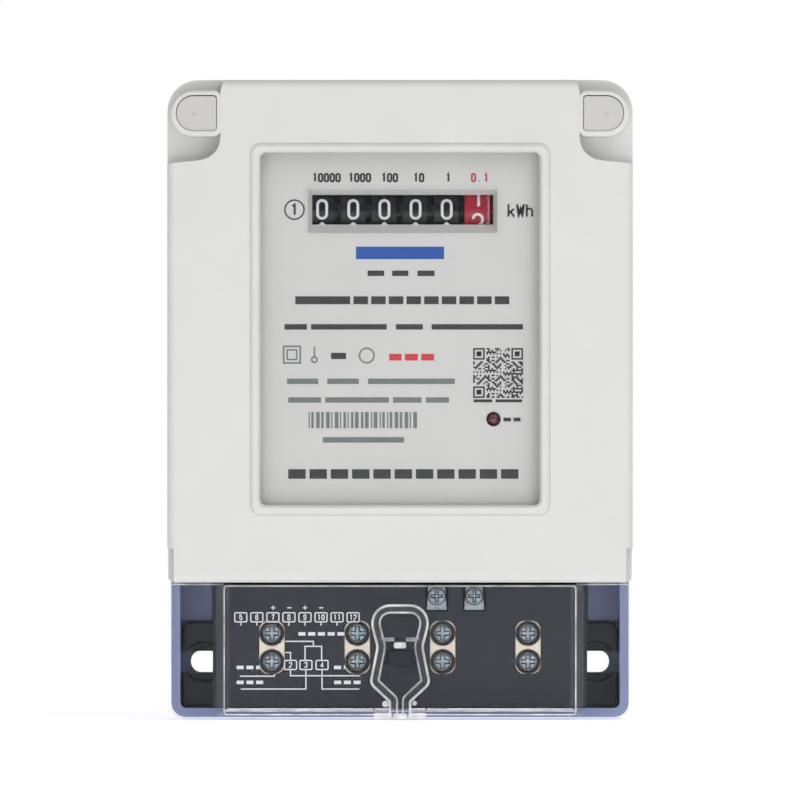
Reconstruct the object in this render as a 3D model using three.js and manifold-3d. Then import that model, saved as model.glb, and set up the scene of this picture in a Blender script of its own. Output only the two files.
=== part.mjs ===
// A single-phase electricity meter with a drum register, a clear terminal cover and a black terminal block.
// Millimetres. +X to the right seen from the front, +Z up, and the front faces -Y.
// The origin is the middle of the back face, which lies on the wall.
import * as THREE from "three";
import { mergeVertices } from "three/addons/utils/BufferGeometryUtils.js";
import Module from "manifold-3d";

const wasm = await Module();
wasm.setup();

// ---------------------------------------------------------------- driving dimensions

const HALF_WIDTH = 56; // front cover
const TOP = 77;
const BOTTOM = -77;
const FRONT = -56; // foremost plane, the window ridge
const FACE = -55.4; // the cover's flat front
const WALL = 2.2; // cover wall
const GAP = 0.3; // between pieces that only meet

const BASE_HALF = 55.4;
const BASE_TOP = 76.4;
const BASE_BOTTOM = -76.8;
const BASE_RIM = -20; // front plane of the base
const COVER_BACK = -20.8; // the seal lies between
const BASE_FLOOR = -2.5; // inner face of the back
const BASE_WALL = 2.2;
const LEDGE_FRONT = -9; // raised floor over the mounting ears

const COVER_BOTTOM = -43.9;
const CORNER = { x: 49.3, z: 68.9 }; // case screw and its cap
const SHELF = -49; // sunken corner shelf
const ARM_TOP = -35.7; // cut-in of the cover for the clear arms

const WINDOW = { x: 33.55, low: -25.2, high: 59.5 };
const PLATE_FRONT = -50.65;
const PLATE_BACK = -49.85;

const WING_FRONT = -38; // clear cover beside its raised box
const BOX_FRONT = -50;
const BOX_HALF = 43.4;
const CLEAR_HALF = 55.6;
const CLEAR_TOP = -44.3;
const CLEAR_WALL = 1.6;

const BLOCK_FACE = -40;
const BLOCK_BACK = -3;
const BLOCK_TOP = -44.4;
const BLOCK_BOTTOM = -74;
const TERMINAL_PITCH = 20.6;
const TERMINAL_X = [-1.5, -0.5, 0.5, 1.5].map((step) => step * TERMINAL_PITCH);
const TERMINAL_SCREW_Z = [-56.3, -63.1];
const CABLE_Y = -27;
const AUX_X = [8.85, 17.9];
const AUX_Z = -47.3;
const BLOCK_SCREW = { x: 40, z: -50 };
const BOARD_SCREW = { x: 42, low: -27, high: 56 };
const HANGER = { hole: 56, neck: 66, holeRadius: 4.3, neckHalf: 2.3 };
const EAR = { inner: 45.2, outer: 52.8, low: -74.3, high: -53.8, front: -12 };
const SLOT = { z: -63.5, radius: 2.6, inner: 43.4, outer: 50.8 };

const DRUM_AXIS = { y: -37.6, z: 45.9 };
const DRUM_RADIUS = 10;
const DRUM_PITCH = 7.5;
const DRUM_FIRST = -18.9;
const DRUM_NAMES = ["10000", "1000", "100", "10", "1", "tenths"];
const DRUM_HALF = 3.1;
const TRANSFER_MODULE = 0.8;
const DRUM_TEETH = 20;
const PINION_TEETH = 8;
const TRAIN_MODULE = 0.6;
const WHEEL_TEETH = 24;
const SMALL_TEETH = 8;

const BEZEL = { x0: -22.3, x1: 23.5, low: 40.1, high: 50.8 };
const BEZEL_OPENING = { x0: -21, x1: 22.3, low: 42.5, high: 49.2 };
const LAMP = { x: 22.5, z: -4.6 };
const BOARD_FRONT = -11.3;
const BOARD_BACK = -9.7;

// ---------------------------------------------------------------- solids

/** A closed three.js geometry as a manifold solid, faces outward. */
function solidOf(geometry) {
  const bare = geometry.clone();
  for (const name of Object.keys(bare.attributes)) {
    if (name !== "position") bare.deleteAttribute(name);
  }
  const welded = mergeVertices(bare, 1e-4);
  const points = welded.attributes.position.array;
  const index = welded.index.array;
  const corner = (i) => new THREE.Vector3().fromArray(points, 3 * i);
  const triangles = [];
  let volume = 0;
  for (let i = 0; i < index.length; i += 3) {
    const [a, b, c] = [index[i], index[i + 1], index[i + 2]];
    if (a === b || b === c || c === a) continue;
    triangles.push([a, b, c]);
    volume += corner(a).dot(corner(b).cross(corner(c)));
  }
  const outward = triangles.map(([a, b, c]) => (volume > 0 ? [a, b, c] : [a, c, b]));
  const mesh = new wasm.Mesh({
    numProp: 3,
    vertProperties: new Float32Array(points),
    triVerts: new Uint32Array(outward.flat()),
  });
  return new wasm.Manifold(mesh);
}

function geometryOf(solid) {
  const mesh = solid.getMesh();
  const geometry = new THREE.BufferGeometry();
  geometry.setAttribute("position", new THREE.BufferAttribute(mesh.vertProperties, 3));
  geometry.setIndex(new THREE.BufferAttribute(mesh.triVerts, 1));
  geometry.computeVertexNormals();
  return geometry;
}

const joined = (first, ...rest) => rest.reduce((sum, solid) => sum.add(solid), first);
const cut = (first, ...rest) => rest.reduce((left, solid) => left.subtract(solid), first);

function box([x0, x1], [y0, y1], [z0, z1]) {
  const geometry = new THREE.BoxGeometry(x1 - x0, y1 - y0, z1 - z0);
  geometry.translate((x0 + x1) / 2, (y0 + y1) / 2, (z0 + z1) / 2);
  return solidOf(geometry);
}

/** A closed outline through [x, z, radius] corners, each rounded by an arc of its radius. */
function outline(corners) {
  const shape = new THREE.Shape();
  corners.forEach(([x, z, radius = 0], i) => {
    const corner = new THREE.Vector2(x, z);
    const towards = ([nextX, nextZ]) => new THREE.Vector2(nextX, nextZ).sub(corner).normalize();
    const before = towards(corners.at(i - 1));
    const after = towards(corners[(i + 1) % corners.length]);
    const half = before.angleTo(after) / 2;
    const reach = radius / Math.tan(half);
    const start = corner.clone().addScaledVector(before, reach);
    if (i) shape.lineTo(start.x, start.y);
    else shape.moveTo(start.x, start.y);
    if (!radius) return;
    const bisector = before.clone().add(after).normalize();
    const middle = corner.clone().addScaledVector(bisector, radius / Math.sin(half));
    const end = corner.clone().addScaledVector(after, reach);
    const from = start.clone().sub(middle).angle();
    const to = end.clone().sub(middle).angle();
    shape.absarc(middle.x, middle.y, radius, from, to, before.cross(after) > 0);
  });
  shape.closePath();
  return shape;
}

/** A rectangle with its own radius for the lower and the upper corners. */
const rectangle = ([x0, x1], [z0, z1], low = 0, high = low) =>
  outline([[x0, z0, low], [x1, z0, low], [x1, z1, high], [x0, z1, high]]);

/** A front outline made solid from yFront back to yBack. */
function slab(shape, yFront, yBack, curveSegments = 2) {
  const depth = yBack - yFront;
  const geometry = new THREE.ExtrudeGeometry(shape, { depth, bevelEnabled: false, curveSegments });
  geometry.rotateX(Math.PI / 2);
  geometry.translate(0, yBack, 0);
  return solidOf(geometry);
}

/** The same, with its front edge rounded over. */
function pillow(shape, yFront, yBack, round, bevelSegments = 3) {
  const depth = yBack - yFront;
  const bevel = { bevelThickness: round, bevelSize: round, bevelOffset: -round, bevelSegments };
  const geometry = new THREE.ExtrudeGeometry(shape, { depth, curveSegments: 2, ...bevel });
  geometry.rotateX(Math.PI / 2);
  geometry.translate(0, yBack + round, 0);
  return cut(solidOf(geometry), box([-100, 100], [yBack, yBack + 3 * round], [-100, 100]));
}

/** A round bar along an axis; at holds its two other coordinates, in x, y, z order. */
function rod(radius, axis, [from, to], at, sides = 16) {
  const geometry = new THREE.CylinderGeometry(radius, radius, to - from, sides);
  const middle = (from + to) / 2;
  if (axis === "x") geometry.rotateZ(Math.PI / 2).translate(middle, at[0], at[1]);
  if (axis === "y") geometry.translate(at[0], middle, at[1]);
  if (axis === "z") geometry.rotateX(Math.PI / 2).translate(at[0], at[1], middle);
  return solidOf(geometry);
}

/** A body turned about the Y axis from [radius, y] points. */
function turned(profile, sides = 16) {
  const points = profile.map(([radius, y]) => new THREE.Vector2(radius, y));
  return solidOf(new THREE.LatheGeometry(points, sides));
}

/** A spur gear along X with straight-sided teeth, slightly thin so that it turns freely. */
function gear(module, teeth, [from, to], boreRadius, phase = 0) {
  const pitch = (module * teeth) / 2;
  const tip = pitch + 0.8 * module;
  const root = pitch - 1.05 * module;
  const step = (2 * Math.PI) / teeth;
  const shape = new THREE.Shape();
  for (let tooth = 0; tooth < teeth; tooth += 1) {
    const middle = phase + tooth * step;
    const flanks = [[root, -0.3], [tip, -0.12], [tip, 0.12], [root, 0.3]];
    for (const [radius, share] of flanks) {
      const angle = middle + share * step;
      const point = [radius * Math.cos(angle), radius * Math.sin(angle)];
      if (tooth === 0 && share === -0.3) shape.moveTo(...point);
      else shape.lineTo(...point);
    }
  }
  shape.closePath();
  const geometry = new THREE.ExtrudeGeometry(shape, { depth: to - from, bevelEnabled: false });
  // the shape's own x, y become y, z, and its depth becomes x
  const axes = [[0, 1, 0], [0, 0, 1], [1, 0, 0]].map((axis) => new THREE.Vector3(...axis));
  geometry.applyMatrix4(new THREE.Matrix4().makeBasis(...axes));
  geometry.translate(from, 0, 0);
  if (!boreRadius) return solidOf(geometry);
  return cut(solidOf(geometry), rod(boreRadius, "x", [from - 1, to + 1], [0, 0], 8));
}

// ---------------------------------------------------------------- the scene graph

const meter = new THREE.Group();
meter.name = "electricity_meter";

const FINISH = {
  white: { color: 0xe3e3e0, roughness: 0.45, metalness: 0 },
  blue: { color: 0x7a86a8, roughness: 0.5, metalness: 0 },
  black: { color: 0x3c4148, roughness: 0.55, metalness: 0 },
  drum: { color: 0x1c1e22, roughness: 0.5, metalness: 0 },
  red: { color: 0x8e2430, roughness: 0.5, metalness: 0 },
  plate: { color: 0xd1d1d0, roughness: 0.6, metalness: 0 },
  grey: { color: 0xc8c8c4, roughness: 0.55, metalness: 0 },
  clear: { color: 0xe8ecf2, roughness: 0.05, metalness: 0, transparent: true, opacity: 0.3 },
  rubber: { color: 0x26262a, roughness: 0.9, metalness: 0 },
  steel: { color: 0xaeb6ba, roughness: 0.35, metalness: 1 },
  zinc: { color: 0xb9bfc2, roughness: 0.3, metalness: 1 },
  brass: { color: 0xc2b49a, roughness: 0.4, metalness: 1 },
  copper: { color: 0xb0704a, roughness: 0.4, metalness: 1 },
  nylon: { color: 0xdedad0, roughness: 0.5, metalness: 0 },
  board: { color: 0x2c6a45, roughness: 0.5, metalness: 0 },
  amber: { color: 0xc09038, roughness: 0.6, metalness: 0 },
};

function place(name, solid, finish, position = [0, 0, 0]) {
  const mesh = new THREE.Mesh(geometryOf(solid), new THREE.MeshStandardMaterial(FINISH[finish]));
  mesh.name = name;
  mesh.position.set(...position);
  meter.add(mesh);
  return mesh;
}

const SIDES = [["left", -1], ["right", 1]];
const span = (side, inner, outer) => (side < 0 ? [-outer, -inner] : [inner, outer]);

// ---------------------------------------------------------------- case

/** The D-shaped outline of a corner cap, its seat and its boss, grown by a margin. */
function capOutline(side, margin) {
  const [flat, round, low, high] = [44.1 - margin, 53.8 + margin, 64.65 - margin, 73.15 + margin];
  const half = (high - low) / 2;
  return outline([
    [side * flat, low, 0.8 + margin], [side * round, low, half - 0.1],
    [side * round, high, half - 0.1], [side * flat, high, 0.8 + margin],
  ]);
}

/** The sunken area round a corner boss. */
const shelfOutline = (side) => outline([
  [side * 60, 80], [side * 41.6, 80], [side * 43.2, 74.2], [side * 43.2, 58.2, 5.5],
  [side * 60, 56.4],
]);

function baseShell() {
  const outside = rectangle([-BASE_HALF, BASE_HALF], [BASE_BOTTOM, BASE_TOP], 3.5, 7.2);
  const inHalf = BASE_HALF - BASE_WALL;
  const inHeight = [BASE_BOTTOM + BASE_WALL, BASE_TOP - BASE_WALL];
  const inside = rectangle([-inHalf, inHalf], inHeight, 1.5, 5);
  let shell = cut(slab(outside, BASE_RIM, 0), slab(inside, BASE_RIM - 1, BASE_FLOOR));
  const inner = BASE_FLOOR + 0.5; // what stands on the floor reaches into it
  for (const [, side] of SIDES) {
    const ribWidth = span(side, EAR.inner + 0.4, inHalf + 0.5);
    shell = joined(
      shell,
      box(ribWidth, [BASE_RIM, inner], [COVER_BOTTOM, COVER_BOTTOM + 2.2]),
      box(ribWidth, [LEDGE_FRONT, inner], [EAR.high + GAP, COVER_BOTTOM + 0.5]),
      rod(3.6, "y", [BASE_RIM + 0.1, inner], [side * CORNER.x, CORNER.z], 12),
      rod(5, "y", [-4.5, inner], [side * BLOCK_SCREW.x, BLOCK_SCREW.z], 12),
    );
    for (const z of [BOARD_SCREW.low, BOARD_SCREW.high]) {
      shell = shell.add(rod(3, "y", [BOARD_BACK + 0.1, inner], [side * BOARD_SCREW.x, z], 10));
    }
  }
  // the hanger's pad inside, and at the back the seat of its plate and the pocket for the wall screw's head
  const { hole, neck } = HANGER;
  shell = cut(
    shell.add(box([-13, 13], [-7.5, inner], [hole - 10, neck + 7])),
    box([-6.5, 6.5], [-5.5, 0.5], [hole - 5, neck + 2]),
    box([-10, 10], [-1.6, 0.5], [hole - 8, neck + 5]),
  );
  for (const [, side] of SIDES) {
    const slotHeight = [SLOT.z - SLOT.radius, SLOT.z + SLOT.radius];
    shell = cut(
      shell,
      slab(rectangle(span(side, SLOT.inner, SLOT.outer), slotHeight, 1.6), -8, 1),
      rod(1.75, "y", [-24, -8], [side * CORNER.x, CORNER.z], 8),
      rod(1.8, "y", [-6, 1], [side * BLOCK_SCREW.x, BLOCK_SCREW.z], 8),
      rod(3.2, "y", [-2.3, 1], [side * BLOCK_SCREW.x, BLOCK_SCREW.z], 12),
    );
    for (const z of [BOARD_SCREW.low, BOARD_SCREW.high]) {
      shell = shell.subtract(rod(1, "y", [-12, -4], [side * BOARD_SCREW.x, z], 8));
    }
  }
  return shell;
}

/** A flat seal between the base's rim and the cover. */
function caseGasket() {
  const [front, back] = [COVER_BACK + 0.05, BASE_RIM - 0.05];
  const outer = rectangle([-55, 55], [-43.6, 76], 1, 6.8);
  const inner = rectangle([-53.6, 53.6], [-42, 74.6], 1, 5.4);
  return cut(slab(outer, front, back), slab(inner, front - 1, back + 1));
}

function frontCover() {
  const outside = rectangle([-HALF_WIDTH, HALF_WIDTH], [COVER_BOTTOM, TOP], 1.5, 7.5);
  const inHalf = HALF_WIDTH - WALL;
  const inside = rectangle([-inHalf, inHalf], [COVER_BOTTOM + WALL, TOP - WALL], 0.5, 5.3);
  let cavity = slab(inside, FACE + WALL, COVER_BACK + 1);
  for (const [, side] of SIDES) {
    // the cover keeps a floor under each corner shelf, a tube for each screw and a rib behind each arm
    cavity = cut(
      cavity,
      box(span(side, 41, 57), [FACE - 1, SHELF + WALL], [54, 78]),
      rod(5, "y", [FACE, COVER_BACK + 2], [side * CORNER.x, CORNER.z]),
      box(span(side, 52, 57), [FACE - 1, COVER_BACK + 2], [COVER_BOTTOM, -33.5]),
    );
  }
  let cover = cut(pillow(outside, FACE, COVER_BACK, 1.4), cavity);
  const ridge = rectangle([-35.6, 35.6], [WINDOW.low - 2, WINDOW.high + 1.8], 2.2);
  cover = cover.add(slab(ridge, FRONT, FACE + 0.5));
  for (const [, side] of SIDES) {
    const boss = slab(capOutline(side, 1.1), FACE, SHELF + 1);
    cover = joined(cut(cover, slab(shelfOutline(side), FRONT - 1, SHELF)), boss);
    cover = cut(
      cover,
      slab(capOutline(side, 0.1), FRONT - 1, -51.2),
      rod(3.6, "y", [-52, -24], [side * CORNER.x, CORNER.z]),
      rod(1.8, "y", [-25, -19], [side * CORNER.x, CORNER.z], 12),
      box(span(side, 54.4, 57), [FRONT - 1, -30], [COVER_BOTTOM - 1, ARM_TOP]),
    );
    for (const z of [-30, 64]) {
      cover = cover.add(rod(2, "y", [FACE + 1, PLATE_FRONT - 0.05], [side * 39, z], 12));
    }
  }
  const window = rectangle([-WINDOW.x, WINDOW.x], [WINDOW.low, WINDOW.high], 1.3);
  return cover.subtract(slab(window, FRONT - 1, FACE + WALL + 1));
}

function cornerCap(side) {
  const plug = pillow(capOutline(side, 0), FACE + 0.1, -51.3, 0.4, 1);
  return plug.subtract(rod(0.6, "y", [FACE - 1, FACE + 0.5], [side * 49.7, 69], 8));
}

/** A cross-slotted screw along Y, with the front of its head at y = 0. */
function screw({ head, headHeight, shank, length, slotWidth }) {
  const body = turned([
    [0, 0], [0.7 * head, 0], [head, 0.3 * headHeight], [head, headHeight],
    [shank, headHeight], [shank, length], [0, length],
  ], 10);
  const half = slotWidth / 2;
  const reach = 0.68 * head;
  const depth = 0.45 * headHeight;
  return cut(
    body,
    box([-reach, reach], [-1, depth], [-half, half]),
    box([-half, half], [-1, depth], [-reach, reach]),
  );
}

place("base_shell", baseShell(), "blue");
place("front_cover", frontCover(), "white");
place("case_gasket", caseGasket(), "rubber");

const caseScrew = screw({ head: 3.2, headHeight: 2.4, shank: 1.5, length: 15, slotWidth: 1 });
for (const [name, side] of SIDES) {
  place(`corner_cap_${name}`, cornerCap(side), "grey");
  place(`case_screw_${name}`, caseScrew, "zinc", [side * CORNER.x, -26.5, CORNER.z]);
}

/** A steel plate with a keyhole: a round hole for the wall screw's head and a neck above it. */
function hangerPlate() {
  const { hole, neck, holeRadius, neckHalf } = HANGER;
  const plate = slab(rectangle([-9.7, 9.7], [hole - 7.7, neck + 4.7], 2), -1.5, -0.2);
  const slot = slab(rectangle([-neckHalf, neckHalf], [hole, neck], 2.2), -3, 1);
  return cut(plate, rod(holeRadius, "y", [-3, 1], [0, hole], 20), slot);
}

place("hanger_plate", hangerPlate(), "steel");

// ---------------------------------------------------------------- window, nameplate and lamp

function nameplate() {
  const plate = slab(rectangle([-41, 41], [-33, 67], 1), PLATE_FRONT, PLATE_BACK);
  const { x0, x1, low, high } = BEZEL;
  const opening = box([x0 - 0.15, x1 + 0.15], [-52, -48], [low - 0.15, high + 0.15]);
  return cut(plate, opening, rod(1.75, "y", [-52, -48], [LAMP.x, LAMP.z], 20));
}

/** A sloped frame that narrows from the nameplate back to the drums. */
function registerBezel() {
  const [front, back] = [PLATE_FRONT - 0.25, -48];
  const { x0, x1, low, high } = BEZEL;
  const block = box([x0, x1], [front, back], [low, high]);
  const inner = BEZEL_OPENING;
  const rim = 0.35;
  const lap = 0.001; // the cutters overlap by this much
  const mouth = { x0: x0 + rim, x1: x1 - rim, low: low + rim, high: high - rim };
  const funnel = new THREE.BoxGeometry(1, 1, 1);
  const points = funnel.attributes.position;
  for (let i = 0; i < points.count; i += 1) {
    const end = points.getY(i) < 0 ? mouth : inner;
    const x = points.getX(i) < 0 ? end.x0 : end.x1;
    const z = points.getZ(i) < 0 ? end.low : end.high;
    points.setXYZ(i, x, end === mouth ? front : back + lap, z);
  }
  return cut(
    block,
    solidOf(funnel),
    box([inner.x0, inner.x1], [back - 1, back + 1], [inner.low, inner.high]),
    box([mouth.x0, mouth.x1], [front - 1, front + lap], [mouth.low, mouth.high]),
  );
}

/** A lamp on two wires, its dome through the nameplate. */
function pulseLamp() {
  const dome = turned([
    [0, -51.2], [1.1, -50.9], [1.5, -50.1], [1.5, -46], [1.9, -46], [1.9, -45], [0, -45],
  ], 12);
  const wire = (x) => box([x - 0.25, x + 0.25], [-45.2, BOARD_FRONT - GAP], [-0.25, 0.25]);
  return joined(dome, wire(-1.27), wire(1.27));
}

place("window_lens", slab(rectangle([-36.5, 36.5], [-28.1, 62.4], 1.5), -53.15, -51.65), "clear");
place("nameplate", nameplate(), "plate");
place("register_bezel", registerBezel(), "grey");
place("pulse_lamp", pulseLamp(), "red", [LAMP.x, 0, LAMP.z]);

// ---------------------------------------------------------------- terminals

function terminalBlock() {
  let block = joined(
    box([-41.3, 41.3], [BLOCK_FACE, BLOCK_BACK], [BLOCK_BOTTOM, BLOCK_TOP]),
    box([-EAR.inner, EAR.inner], [-33.5, BLOCK_BACK], [BLOCK_BOTTOM, BLOCK_TOP]),
    box([-EAR.inner, EAR.inner], [BASE_RIM + 0.1, BLOCK_BACK], [BLOCK_TOP - 0.5, -36]),
    slab(rectangle([-2.8, 2.8], [-64, -60.6], 0, 0.6), -43.4, BLOCK_FACE + 0.5),
  );
  for (const [, side] of SIDES) {
    const ear = outline([
      [side * (EAR.inner - 1), EAR.low], [side * EAR.outer, EAR.low, 1.5],
      [side * EAR.outer, EAR.high, 2.4], [side * (EAR.inner - 1), EAR.high],
    ]);
    block = block.add(slab(ear, EAR.front, BLOCK_BACK));
  }
  for (const [, side] of SIDES) {
    const [low, high] = [SLOT.z - SLOT.radius, SLOT.z + SLOT.radius];
    const slot = outline([
      [side * SLOT.inner, low, 2.5], [side * 54, low], [side * 54, high], [side * SLOT.inner, high, 2.5],
    ]);
    block = cut(
      block,
      slab(slot, EAR.front - 1, BLOCK_BACK + 1),
      rod(5, "y", [EAR.front - 1, EAR.front + 3], [side * 47.6, SLOT.z], 20),
      rod(5.3, "y", [-4.8, BLOCK_BACK + 1], [side * BLOCK_SCREW.x, BLOCK_SCREW.z], 12),
      rod(1.3, "y", [-14, BLOCK_BACK + 1], [side * BLOCK_SCREW.x, BLOCK_SCREW.z], 8),
    );
  }
  for (const x of TERMINAL_X) {
    block = cut(
      block,
      box([x - 3.25, x + 3.25], [BLOCK_FACE - 1, -33], [-66.4, -53]),
      box([x - 4.8, x + 4.8], [-33.7, BLOCK_BACK + 1], [-66.4, -53]),
      box([x - 2.3, x + 2.3], [-16.3, BLOCK_BACK + 1], [-54, -35]),
      rod(3.8, "z", [BLOCK_BOTTOM - 1, -66], [x, CABLE_Y], 12),
    );
  }
  for (const x of AUX_X) {
    block = cut(
      block,
      box([x - 2.8, x + 2.8], [BLOCK_FACE - 1, -36], [-51, BLOCK_TOP + 1]),
      rod(1.5, "y", [-37, -27], [x, AUX_Z], 8),
    );
  }
  return block;
}

/** A metal cage: a bore for the cable from below, two screws from the front and a tail into the case. */
function terminalCage() {
  const height = [-66.1, -53.25];
  const face = box([-3.05, 3.05], [-39.3, -33], height);
  const body = box([-4.5, 4.5], [-33.4, -14], height);
  const tail = box([-2, 2], [-16, -14], [-54, -33]);
  let cage = cut(joined(face, body, tail), rod(3.2, "z", [-67, -54.5], [0, CABLE_Y], 12));
  for (const z of TERMINAL_SCREW_Z) {
    cage = cut(
      cage,
      rod(2.75, "y", [BLOCK_FACE, -32.4], [0, z], 12),
      rod(2, "y", [-33, CABLE_Y], [0, z], 8),
    );
  }
  return cage;
}

/** The outline of the latch well in the clear cover, grown outward by a wall. */
function wellOutline(wall) {
  const right = [
    [6 + wall, -50.1 + wall, 3.6 + wall],
    [6 + wall, -54.4, 4],
    [4.7 + wall, -59.4, 4],
    [6.4 + wall, -68, 1.5],
    [1.8 + wall, -72.3, 1],
    [1.8 + wall, BOTTOM - 1],
  ];
  const left = [...right].reverse().map(([x, z, radius]) => [-x, z, radius]);
  return outline([...right, ...left]);
}

function terminalCover() {
  const wings = slab(
    rectangle([-CLEAR_HALF, CLEAR_HALF], [BOTTOM, CLEAR_TOP], 3.7, 0), WING_FRONT, BASE_RIM - GAP,
  );
  const raisedOutline = rectangle([-BOX_HALF, BOX_HALF], [BOTTOM + 0.3, CLEAR_TOP - 0.2], 0.9);
  const raised = pillow(raisedOutline, BOX_FRONT, WING_FRONT + 1, 0.7, 2);
  const inHalf = CLEAR_HALF - CLEAR_WALL;
  const inBox = BOX_HALF - CLEAR_WALL;
  const floor = BOTTOM + CLEAR_WALL;
  let cover = cut(
    joined(wings, raised),
    slab(rectangle([-inHalf, inHalf], [floor, -40], 2.1, 0), WING_FRONT + CLEAR_WALL, -19),
    box([-inBox, inBox], [BOX_FRONT + CLEAR_WALL, WING_FRONT + 2], [floor, -40]),
  );
  const [wellFloor, wellBack] = [-42, -40.6];
  const inside = box([-20, 20], [BOX_FRONT, wellBack], [floor - 0.5, -44.5]);
  const well = slab(wellOutline(1.4), BOX_FRONT + 0.5, wellBack).intersect(inside);
  cover = cut(
    cover.add(well),
    slab(wellOutline(0), BOX_FRONT - 1, wellFloor),
    box([-3.2, 3.2], [-45, -40], [-64.4, -60.2]),
  );
  // a step fills the well's upper end to a higher floor, with the slot above the catch
  const step = slab(wellOutline(0.5), -44.4, wellBack).intersect(box([-9, 9], [-45, -40], [-57.8, -45]));
  cover = cut(cover.add(step), box([-1.4, 1.4], [-45, -40], [-58, -57.1]));
  for (const [, side] of SIDES) {
    cover = cover.add(box(span(side, 54.7, CLEAR_HALF), [-37.6, -30.3], [CLEAR_TOP - 0.5, ARM_TOP - 0.4]));
  }
  for (const x of TERMINAL_X) {
    const notch = rectangle([x - 3.8, x + 3.8], [-80, floor + 0.5]);
    cover = cover.subtract(slab(notch, -33, -19));
  }
  return cover;
}

place("terminal_block", terminalBlock(), "black");
place("terminal_cover", terminalCover(), "clear");

const cage = terminalCage();
const terminalScrew = screw({ head: 2.5, headHeight: 3, shank: 1.75, length: 8.2, slotWidth: 0.8 });
TERMINAL_X.forEach((x, i) => {
  place(`main_terminal_${i + 1}`, cage, "brass", [x, 0, 0]);
  TERMINAL_SCREW_Z.forEach((z, row) => {
    place(`terminal_screw_${i + 1}_${row ? "lower" : "upper"}`, terminalScrew, "zinc", [x, -38.6, z]);
  });
});

/** A square clamp with its lower edge turned out, on the shank of its screw. */
function auxClamp() {
  const shape = outline([[-2.5, -3.4], [2.5, -3.4], [2.1, 2.2, 0.4], [-2.1, 2.2, 0.4]]);
  return slab(shape, -37.3, -36.1).subtract(rod(1.4, "y", [-38, -35], [0, 0], 8));
}

const auxScrew = screw({ head: 2.2, headHeight: 2.2, shank: 1.2, length: 11, slotWidth: 0.7 });
AUX_X.forEach((x, i) => {
  place(`aux_clamp_${i + 1}`, auxClamp(), "zinc", [x, 0, AUX_Z]);
  place(`aux_screw_${i + 1}`, auxScrew, "zinc", [x, -39.6, AUX_Z]);
});

const blockScrew = screw({ head: 2.9, headHeight: 1.9, shank: 1.15, length: 12, slotWidth: 0.9 });
for (const [name, side] of SIDES) {
  // driven from the back, so turned end for end
  const position = [side * BLOCK_SCREW.x, -0.3, BLOCK_SCREW.z];
  place(`block_screw_${name}`, blockScrew, "steel", position).rotation.z = Math.PI;
}

// ---------------------------------------------------------------- register

const TRANSFER_DISTANCE = (TRANSFER_MODULE * (DRUM_TEETH + PINION_TEETH)) / 2;
const TRAIN_DISTANCE = (TRAIN_MODULE * (WHEEL_TEETH + SMALL_TEETH)) / 2;
const stepped = (from, distance, [dy, dz]) => ({ y: from.y + distance * dy, z: from.z + distance * dz });
const PINION_AXIS = stepped(DRUM_AXIS, TRANSFER_DISTANCE, [0.6, 0.8]);
const IDLER_AXIS = stepped(DRUM_AXIS, TRAIN_DISTANCE, [0.8, -0.6]);
const ROTOR_AXIS = stepped(IDLER_AXIS, TRAIN_DISTANCE, [0.6, -0.8]);

/** The phase at which the second gear has a gap where the first has a tooth on their line of centres. */
function meshingPhase(first, second, firstTeeth, secondTeeth, firstPhase = 0) {
  const towards = Math.atan2(second.z - first.z, second.y - first.y);
  const firstStep = (2 * Math.PI) / firstTeeth;
  const secondStep = (2 * Math.PI) / secondTeeth;
  const offset = (towards - firstPhase) / firstStep;
  return towards + Math.PI + (offset + 0.5) * secondStep;
}

/** A number drum: rim, web and hub, with its driven gear on the right. */
function drum(module, teeth) {
  const profile = [
    [1.2, -DRUM_HALF], [2.6, -DRUM_HALF], [2.6, 2.1], [8.8, 2.1],
    [8.8, -DRUM_HALF], [DRUM_RADIUS, -DRUM_HALF], [DRUM_RADIUS, DRUM_HALF], [1.2, DRUM_HALF],
    [1.2, -DRUM_HALF],
  ];
  const points = profile.map(([radius, x]) => new THREE.Vector2(radius, x));
  const wheel = new THREE.LatheGeometry(points, 16);
  wheel.rotateZ(-Math.PI / 2);
  return solidOf(wheel).add(gear(module, teeth, [DRUM_HALF - 0.1, DRUM_HALF + 1], 1.2));
}

const drumX = (i) => DRUM_FIRST + i * DRUM_PITCH;
const transferDrum = drum(TRANSFER_MODULE, DRUM_TEETH);
DRUM_NAMES.forEach((name, i) => {
  const last = i === DRUM_NAMES.length - 1;
  const solid = last ? drum(TRAIN_MODULE, WHEEL_TEETH) : transferDrum;
  place(`drum_${name}`, solid, last ? "red" : "drum", [drumX(i), DRUM_AXIS.y, DRUM_AXIS.z]);
});
place("drum_shaft", rod(1, "x", [-27, 28], [DRUM_AXIS.y, DRUM_AXIS.z], 10), "steel");

const pinionPhase = meshingPhase(DRUM_AXIS, PINION_AXIS, DRUM_TEETH, PINION_TEETH);
const pinion = gear(TRANSFER_MODULE, PINION_TEETH, [0.15, 0.95], 1.1, pinionPhase);
for (let i = 0; i < DRUM_NAMES.length - 1; i += 1) {
  place(`transfer_pinion_${i + 1}`, pinion, "nylon", [drumX(i) + DRUM_HALF, PINION_AXIS.y, PINION_AXIS.z]);
}
place("pinion_shaft", rod(0.8, "x", [-27, 28], [PINION_AXIS.y, PINION_AXIS.z], 10), "steel");

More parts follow.
